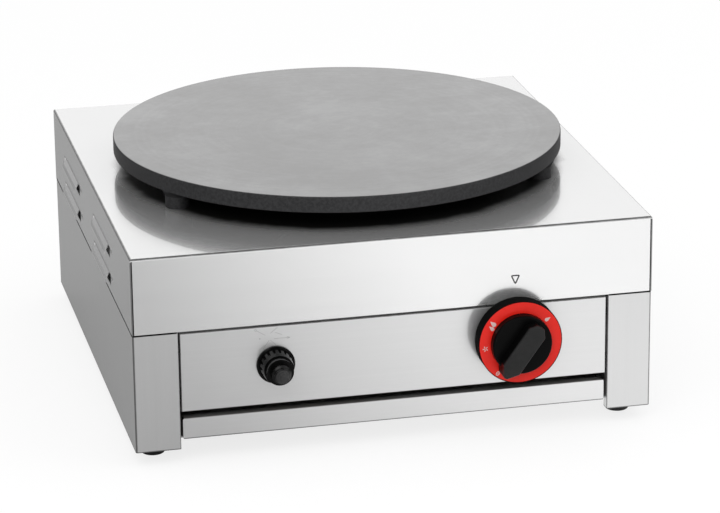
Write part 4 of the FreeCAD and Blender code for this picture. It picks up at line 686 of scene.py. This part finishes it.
def add_piece(name, points, faces, material, body):
    """A closed mesh in millimetres that rides on a body, with its faces turned outwards."""
    mesh = bpy.data.meshes.new(name)
    mesh.from_pydata((np.asarray(points) * MM).tolist(), [], faces)
    work = bmesh.new()
    work.from_mesh(mesh)
    bmesh.ops.remove_doubles(work, verts=work.verts, dist=1e-7)
    bmesh.ops.recalc_face_normals(work, faces=work.faces)
    work.to_mesh(mesh)
    work.free()
    mesh.materials.append(material)
    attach(add_object(name, mesh), body)


def grid_faces(rows, columns, wrap_rows=False):
    """Quads between the neighbours of a grid of points whose rows close on themselves."""
    down = np.arange(rows if wrap_rows else rows - 1)
    i, j = np.meshgrid(down, np.arange(columns), indexing="ij")
    after_i, after_j = (i + 1) % rows, (j + 1) % columns
    quads = np.stack([i * columns + j, i * columns + after_j,
                      after_i * columns + after_j, after_i * columns + j], axis=-1)
    return quads.reshape(-1, 4).tolist()


def stroke(path, width, closed=False):
    """A flat line along a path in the front plane, as (x, z, depth) points and faces.

    The section is a rectangle as wide as the line, from depth 0 to 1, carried along the path
    square to the bisector of its two runs.
    """
    path = np.asarray(path, float)
    ahead = np.roll(path, -1, axis=0) - path
    behind = path - np.roll(path, 1, axis=0)
    if not closed:
        ahead[-1] = behind[-1]
        behind[0] = ahead[0]
    ahead /= np.linalg.norm(ahead, axis=1, keepdims=True)
    behind /= np.linalg.norm(behind, axis=1, keepdims=True)
    mean = ahead + behind
    mean /= np.linalg.norm(mean, axis=1, keepdims=True)
    reach = width / 2 / np.maximum(np.sum(mean * ahead, axis=1, keepdims=True), 0.3)
    sideways = np.stack([-mean[:, 1], mean[:, 0]], axis=1) * reach
    left, right = path + sideways, path - sideways
    deep, near = np.zeros((len(path), 1)), np.ones((len(path), 1))
    section = [np.hstack([left, deep]), np.hstack([left, near]),
               np.hstack([right, near]), np.hstack([right, deep])]
    points = np.stack(section, axis=1).reshape(-1, 3)
    faces = grid_faces(len(path), 4, wrap_rows=closed)
    if not closed:
        last = 4 * (len(path) - 1)
        faces += [[3, 2, 1, 0], [last, last + 1, last + 2, last + 3]]
    return points, faces


def spot(outline, middle):
    """A filled flat shape: its outline, and the outline again at depth 1, closed to the middle."""
    outline = np.asarray(outline, float)
    count = len(outline)
    back = np.hstack([outline, np.zeros((count, 1))])
    front = np.hstack([outline, np.ones((count, 1))])
    ends = np.array([[*middle, 0.0], [*middle, 1.0]])
    faces = grid_faces(2, count)
    around = np.arange(count)
    after = (around + 1) % count
    back_end, front_end = np.full(count, 2 * count), np.full(count, 2 * count + 1)
    faces += np.stack([after, around, back_end], axis=1).tolist()
    faces += np.stack([around + count, after + count, front_end], axis=1).tolist()
    return np.vstack([back, front, ends]), faces


def circle(radius, count=24, squash=1.0):
    """Points round a circle, or an ellipse that is squashed sideways."""
    angle = np.linspace(0, math.tau, count, endpoint=False)
    return np.stack([radius * squash * np.sin(angle), radius * np.cos(angle)], axis=1)


def flame(height):
    """A drop: a circle whose upper half is drawn up to a point that leans to one side."""
    angle = np.linspace(0, math.tau, 28, endpoint=False)
    up = np.clip(np.cos(angle), 0, None) ** 3
    x = 0.32 * height * np.sin(angle) * (1 - 0.55 * up) + 0.14 * height * up
    z = 0.32 * height * np.cos(angle) + 0.42 * height * up
    return np.stack([x, z - 0.15 * height], axis=1)


def put_marks(name, shapes, face, material, body, turn=0.0, centre=(0.0, 0.0), outward=-1.0,
              thickness=MARK_THICKNESS):
    """Stands flat shapes on a face, turned clockwise about their own middle and then moved.

    The face is square to Y and looks along it the way that outward says.
    """
    cosine, sine = math.cos(math.radians(turn)), math.sin(math.radians(turn))
    points, faces, start = [], [], 0
    for flat, quads in shapes:
        x = flat[:, 0] * cosine + flat[:, 1] * sine + centre[0]
        z = -flat[:, 0] * sine + flat[:, 1] * cosine + centre[1]
        y = face + outward * (flat[:, 2] * thickness - MARK_SINK)
        points.append(np.stack([x, y, z], axis=1))
        faces += [[start + k for k in quad] for quad in quads]
        start += len(flat)
    add_piece(name, np.vstack(points), faces, material, body)


def moved(shape, x, z):
    """A flat shape, moved in its plane."""
    points, faces = shape
    return points + np.array([x, z, 0.0]), faces


def spark_rays(inner, outer, width, angles):
    """Short rays about a point."""
    rays = []
    for angle in angles:
        way = np.array([math.sin(math.radians(angle)), math.cos(math.radians(angle))])
        rays.append(stroke([way * inner, way * outer], width))
    return rays


def add_ring_marks():
    """White marks on the knob's ring: off, spark, large flame and small flame."""
    white = mark_paint("mark_white", (0.85, 0.62, 0.6), 0.4)
    marks = {
        "mark_off": (217, 33.0, [stroke(circle(1.7, 24, 0.72), 0.7, closed=True),
                                 stroke([(0, -0.7), (0, 0.7)], 0.55)]),
        "mark_spark": (264, 31.0, spark_rays(0.6, 2.4, 0.75, range(0, 360, 72))),
        "mark_large_flame": (304, 29.6, [moved(spot(flame(5.2), (0, -0.4)), -2.1, -0.5),
                                         moved(spot(flame(6.0), (0, -0.4)), 1.8, 0.6)]),
        "mark_small_flame": (51, 30.0, [spot(flame(5.0), (0, -0.4))]),
    }
    for name, (around, away, shapes) in marks.items():
        angle = math.radians(around)
        centre = (KNOB_AXIS[0] + away * math.sin(angle), KNOB_AXIS[1] + away * math.cos(angle))
        put_marks(name, shapes, RING_FACE, white, "knob", around, centre)


def add_ring_lip():
    """Thin black lip that holds the red ring at its edge: a rectangle carried round a circle."""
    overlap, width = 0.25, 0.6
    lip = stroke(circle(RING_RADIUS - overlap, 120), width, closed=True)
    put_marks("ring_lip", [lip], RING_FACE + RING_SHEET, MATERIALS["knob_black"], "knob",
              centre=KNOB_AXIS, thickness=RING_SHEET + MARK_THICKNESS)


def add_screw_drive_shades():
    """Painted shade of the cross drive on each screw head of the rear panel: a black plus sign of
    twelve corners.
    """
    arm, half = 2.0, 0.42
    across, low, high = 214, 45, 100.5
    corner = np.array([(half, arm), (half, half), (arm, half)])
    plus = np.vstack([corner @ np.array([[c, -s], [s, c]]) for c, s in
                      ((1, 0), (0, 1), (-1, 0), (0, -1))])
    for name, x, z, turn in (("low_left", -across, low, 12), ("high_left", -across, high, -31),
                             ("low_right", across, low, 40), ("high_right", across, high, 5)):
        put_marks(f"screw_drive_shade_{name}", [spot(plus, (0, 0))], REAR_SCREW_FACE,
                  MATERIALS["painted_shade_black"], "housing", turn, (x, z), 1.0)


def add_index_mark():
    """Grey triangle outline over the knob, where the ring's marks are read."""
    grey = mark_paint("mark_grey", (0.04, 0.04, 0.04), 0.45)
    corners = np.array([(-3.1, 3.3), (-2.6, 3.5), (2.6, 3.5), (3.1, 3.3), (3.1, 2.8), (0.5, -2.9),
                        (0.2, -3.2), (-0.2, -3.2), (-0.5, -2.9), (-3.1, 2.8)])
    put_marks("index_mark", [stroke(corners, 1.15, closed=True)], COVER_FRONT, grey, "housing",
              centre=(104.2, 138.8))


def add_lighter_mark():
    """Faint etched spark over the lighter: rays about a point, one of them an arrow."""
    etched = mark_paint("mark_etched", (0.42, 0.42, 0.42), 0.6)
    rays = [[(-10.9, 6.5), (-3.4, 1.8)], [(7.2, 8.0), (1.0, 3.2)], [(5.0, 3.6), (10.9, 1.2)],
            [(4.3, -1.9), (17.4, -1.9)], [(15.2, -0.9), (17.6, -1.9), (15.2, -2.9)],
            [(-0.2, -2.9), (-5.8, -10.9)], [(0.9, -2.9), (5.6, -7.6)]]
    shapes = [stroke(ray, 0.3) for ray in rays]
    shapes += [moved(stroke(circle(0.8, 16), 0.3, closed=True), -11.6, 6.9),
               moved(spot(circle(0.55, 12), (0, 0)), -8.0, -1.0)]
    put_marks("lighter_mark", shapes, PANEL_FRONT, etched, "housing", centre=(-109.0, 106.3))


def sweep(profile, path):
    """A closed profile carried along an open path: (points, faces) with both ends closed.

    The profile holds (side, up) pairs, side being square to the path in the floor plane and
    positive on its left.
    """
    profile, path = np.asarray(profile, float), np.asarray(path, float)
    way = np.gradient(path, axis=0)
    way /= np.linalg.norm(way, axis=1, keepdims=True)
    left = np.stack([-way[:, 1], way[:, 0], np.zeros(len(way))], axis=1)
    points = (path[:, None, :] + left[:, None, :] * profile[None, :, :1]
              + np.array([0.0, 0.0, 1.0]) * profile[None, :, 1:])
    wide, last = len(profile), len(profile) * (len(path) - 1)
    faces = grid_faces(len(path), wide) + [list(range(wide))[::-1], [last + k for k in range(wide)]]
    return points.reshape(-1, 3), faces


def rounded_run(corners, radius, count=7):
    """Points along straight runs whose corners are quarter circles of the given radius."""
    corners = np.asarray(corners, float)
    points = [corners[0]]
    for before, corner, after in zip(corners, corners[1:], corners[2:]):
        back = (before - corner) / np.linalg.norm(before - corner)
        on = (after - corner) / np.linalg.norm(after - corner)
        centre = corner + radius * (back + on)
        turn = np.linspace(0, math.pi / 2, count)[:, None]
        points += list(centre - radius * (on * np.cos(turn) + back * np.sin(turn)))
    return np.array(points + [corners[-1]])


def add_seam_shade_strip():
    """Black strip of painted shade in the groove between cover and frame, from post to post round
    the back.
    """
    half, post, bend = HOUSING_HALF + 0.05, 187.4, 2.05
    corners = [(post, -half), (half, -half), (half, half), (-half, half), (-half, -half),
               (-post, -half)]
    path = rounded_run(corners, bend)
    path = np.hstack([path, np.full((len(path), 1), SEAM_HEIGHT)])
    profile = [(0.12, -0.95), (0.0, -0.8), (0.0, 0.55), (0.12, 0.7), (0.9, 0.7), (0.9, -0.95)]
    points, faces = sweep(profile, path)
    add_piece("seam_shade_strip", points, faces, MATERIALS["painted_shade_black"], "housing")


def add_corner_shade_strips():
    """Black strip of painted shade in each open slit of the cover, whose outer side is a shallow
    arc.
    """
    middle, half, back, front, crown = 223.55, 0.43, 224.02, 224.42, 0.2
    low, high = 118.6, 182.9
    arc = [(middle + half * part, front + crown * (1.0 - part ** 2))
           for part in np.linspace(-1.0, 1.0, 7)]
    outline = np.array(arc + [(middle + half, back), (middle - half, back)])
    count = len(outline)
    for name, side, end in (("front_left", -1, -1), ("front_right", 1, -1), ("rear_left", -1, 1),
                            ("rear_right", 1, 1)):
        plan = outline if side * end > 0 else outline[::-1]
        plan = plan * np.array([side, end])
        ring = [np.column_stack([plan, np.full(count, z)]) for z in (low, high)]
        faces = grid_faces(2, count) + [list(range(count))[::-1], list(range(count, 2 * count))]
        add_piece(f"corner_shade_strip_{name}", np.vstack(ring), faces, MATERIALS["painted_shade_black"],
                  "housing")


def lathe(profile, count=56):
    """A profile of (radius, forward) pairs turned about the -Y axis: (points, faces)."""
    profile = np.asarray(profile, float)
    angle = np.linspace(0, math.tau, count, endpoint=False)
    ring = np.stack([np.sin(angle), np.zeros(count), np.cos(angle)], axis=1)
    points = (profile[:, None, :1] * ring[None, :, :]
              - profile[:, None, 1:] * np.array([0.0, 1.0, 0.0]))
    last = count * (len(profile) - 1)
    faces = grid_faces(len(profile), count)
    faces += [list(range(count)), [last + k for k in range(count)][::-1]]
    return points.reshape(-1, 3), faces


def add_button_cap():
    """Stepped dome on the lighter's button: three rounded steps turned about its axis."""
    profile = [(6.1, -0.3), (6.1, 0.5), (5.8, 0.9), (4.7, 1.1), (4.5, 1.2), (4.5, 1.9), (4.2, 2.3),
               (3.2, 2.45), (3.0, 2.6), (3.0, 3.1), (2.7, 3.45), (1.6, 3.6), (0.4, 3.62)]
    points, faces = lathe(profile)
    points += np.array([LIGHTER_AXIS[0], BUTTON_FRONT, LIGHTER_AXIS[1]])
    add_piece("button_cap", points, faces, MATERIALS["button_black"], "igniter_button")


def add_louvre_ends():
    """Closed rear end of each louvre: its section, whose bulge falls off as a quarter ellipse."""
    section = np.array([(0.0, 10.0), (1.2, 8.9), (2.3, 7.4), (2.9, 6.2), (3.6, 4.6), (4.0, 3.0),
                        (3.9, 1.4), (3.44, 0.0), (-0.4, 0.0), (-0.4, 10.0)])
    flap, length, steps = 75.98, 11.0, 12
    apex, drawn = 6.0, 0.35
    bulged = section[None, :, 0] > 0
    along = np.linspace(0.0, 1.0, steps)[:, None]
    fall = np.sqrt(np.clip(1.0 - along ** 2, 0.0, 1.0))
    out = np.where(bulged, section[None, :, 0] * fall, section[None, :, 0])
    shut = drawn * (1.0 - fall) * bulged
    up = section[None, :, 1] * (1.0 - shut) + apex * shut
    wide, last = len(section), len(section) * (steps - 1)
    faces = grid_faces(steps, wide) + [list(range(wide)), [last + k for k in range(wide)]]
    for low in (124.7, 149.7):
        for pair, front in (("front", -106.0), ("rear", 70.0)):
            for hand, side in (("left", -1.0), ("right", 1.0)):
                y = np.broadcast_to(front + flap + length * along, out.shape)
                points = np.stack([side * (HOUSING_HALF + out), y, low + up], axis=-1)
                add_piece(f"louvre_end_{hand}_{int(low)}_{pair}", points.reshape(-1, 3), faces,
                          MATERIALS["cover_steel"], "housing")


def add_inlet_thread():
    """Pipe thread on the gas inlet: a ridge carried round a helix, running out at both ends."""
    pitch, turns, radius, depth = 1.8, 12, 10.4, 0.55
    across, start, up = 175.0, 239.5, 88.5
    count = turns * 28
    along = np.linspace(0, 1, count)
    angle = along * turns * math.tau
    height = depth * np.clip(np.minimum(along, 1 - along) * 12, 0.05, 1)
    points = []
    for offset, rise in ((-0.45, 0.0), (0.0, 1.0), (0.45, 0.0)):
        away = radius + height * rise
        points.append(np.stack([across + away * np.cos(angle),
                                start + along * turns * pitch + offset * pitch,
                                up + away * np.sin(angle)], axis=1))
    stacked = np.stack(points, axis=1).reshape(-1, 3)
    last = 3 * (count - 1)
    faces = grid_faces(count, 3) + [[2, 1, 0], [last, last + 1, last + 2]]
    add_piece("inlet_thread", stacked, faces, MATERIALS["gas_brass"], "housing")


def add_floor():
    """Pale paper floor.

    To the camera most of it is plain white, with the object's soft shadow left in the rest. In
    polished metal it shows as paper lit from the right, which falls off to grey on the left.
    """
    material = bpy.data.materials.new("paper_floor")
    graph = empty_graph(material)
    place = graph.add("ShaderNodeTexCoord").outputs["Object"]
    x = graph.parts(place)[0]
    slope = graph.sum("MULTIPLY_ADD", x, SHEEN_SLOPE, SHEEN_MIDDLE)
    sheen = graph.sum("MINIMUM", graph.sum("MAXIMUM", slope, SHEEN_LOW), SHEEN_HIGH)
    sheen = graph.sum("MULTIPLY", sheen, graph.between(x, *SHEEN_RIGHT_END))
    sheen = graph.sum("MULTIPLY", sheen, graph.between(x, *SHEEN_LEFT_END))
    path = graph.add("ShaderNodeLightPath").outputs
    mirrored = graph.sum("MAXIMUM", path["Is Glossy Ray"], path["Is Transmission Ray"])
    strength = graph.sum("ADD", graph.sum("MULTIPLY", path["Is Camera Ray"], PAPER_WHITE),
                         graph.sum("MULTIPLY", mirrored, sheen))
    share = graph.sum("MULTIPLY", graph.sum("MAXIMUM", path["Is Camera Ray"], mirrored),
                      PAPER_TO_CAMERA)
    paper = graph.add("ShaderNodeBsdfDiffuse", {"Color": rgba(PAPER)}).outputs[0]
    glow = graph.add("ShaderNodeEmission", {"Strength": strength}).outputs[0]
    mixed = graph.add("ShaderNodeMixShader", {0: share, 1: paper, 2: glow}).outputs[0]
    clear = graph.add("ShaderNodeBsdfTransparent").outputs[0]
    behind = graph.add("ShaderNodeNewGeometry").outputs["Backfacing"]
    shown = graph.add("ShaderNodeMixShader", {0: behind, 1: mixed, 2: clear}).outputs[0]
    graph.add("ShaderNodeOutputMaterial", {"Surface": shown})
    half = FLOOR_HALF
    mesh = bpy.data.meshes.new("floor")
    mesh.from_pydata([(-half, -half, 0), (half, -half, 0), (half, half, 0), (-half, half, 0)], [],
                     [(0, 1, 2, 3)])
    mesh.materials.append(material)
    add_object("floor", mesh)


def light_room():
    """White room: plain light on the object, and white to the camera and in reflections."""
    world = bpy.data.worlds.new("studio")
    bpy.context.scene.world = world
    graph = empty_graph(world)
    way = graph.add("ShaderNodeTexCoord").outputs["Generated"]
    x, _, z = graph.parts(way)
    sheen = graph.sum("MULTIPLY", graph.between(x, *ROOM_LEFT), graph.between(z, *ROOM_CEILING))
    sheen = graph.sum("MULTIPLY", sheen, graph.between(x, *ROOM_RIGHT))
    path = graph.add("ShaderNodeLightPath").outputs
    mirrored = graph.sum("MAXIMUM", path["Is Glossy Ray"], path["Is Transmission Ray"])
    plain, shown, white = [
        graph.add("ShaderNodeBackground", {"Color": rgba(1.0), "Strength": strength}).outputs[0]
        for strength in (graph.between(z, *ROOM_LIGHT), sheen, 1.0)]
    lit = graph.add("ShaderNodeMixShader", {0: mirrored, 1: plain, 2: shown}).outputs[0]
    seen = graph.add("ShaderNodeMixShader", {0: path["Is Camera Ray"], 1: lit, 2: white}).outputs[0]
    graph.add("ShaderNodeOutputWorld", {"Surface": seen})


def look(thing, place, aim, roll=0.0):
    """Stands a lamp or camera at a place and turns it towards another, with a roll in degrees."""
    thing.location = place
    thing.rotation_mode = "QUATERNION"
    ahead = (Vector(aim) - Vector(place)).to_track_quat("-Z", "Y")
    thing.rotation_quaternion = ahead @ Quaternion((0, 0, 1), math.radians(roll))


def add_lamps():
    """Square soft lamps that look at the object."""
    for name, (place, size, power) in LAMPS.items():
        light = bpy.data.lights.new(name, "AREA")
        light.size = size
        light.energy = power
        look(add_object(name, light), place, LAMP_AIM)


def add_camera():
    """The photograph's view, with its slight roll."""
    data = bpy.data.cameras.new("camera")
    data.lens = CAMERA_LENS
    data.sensor_width = CAMERA_SENSOR
    data.clip_start, data.clip_end = CAMERA_CLIP
    camera = add_object("camera", data)
    look(camera, CAMERA_PLACE, CAMERA_AIM, CAMERA_ROLL)
    bpy.context.scene.camera = camera


dress_frame()
add_ring_marks()
add_ring_lip()
add_index_mark()
add_screw_drive_shades()
add_lighter_mark()
add_seam_shade_strip()
add_corner_shade_strips()
add_button_cap()
add_louvre_ends()
add_inlet_thread()
add_floor()
light_room()
add_lamps()
add_camera()
bpy.context.scene.view_settings.view_transform = "Standard"
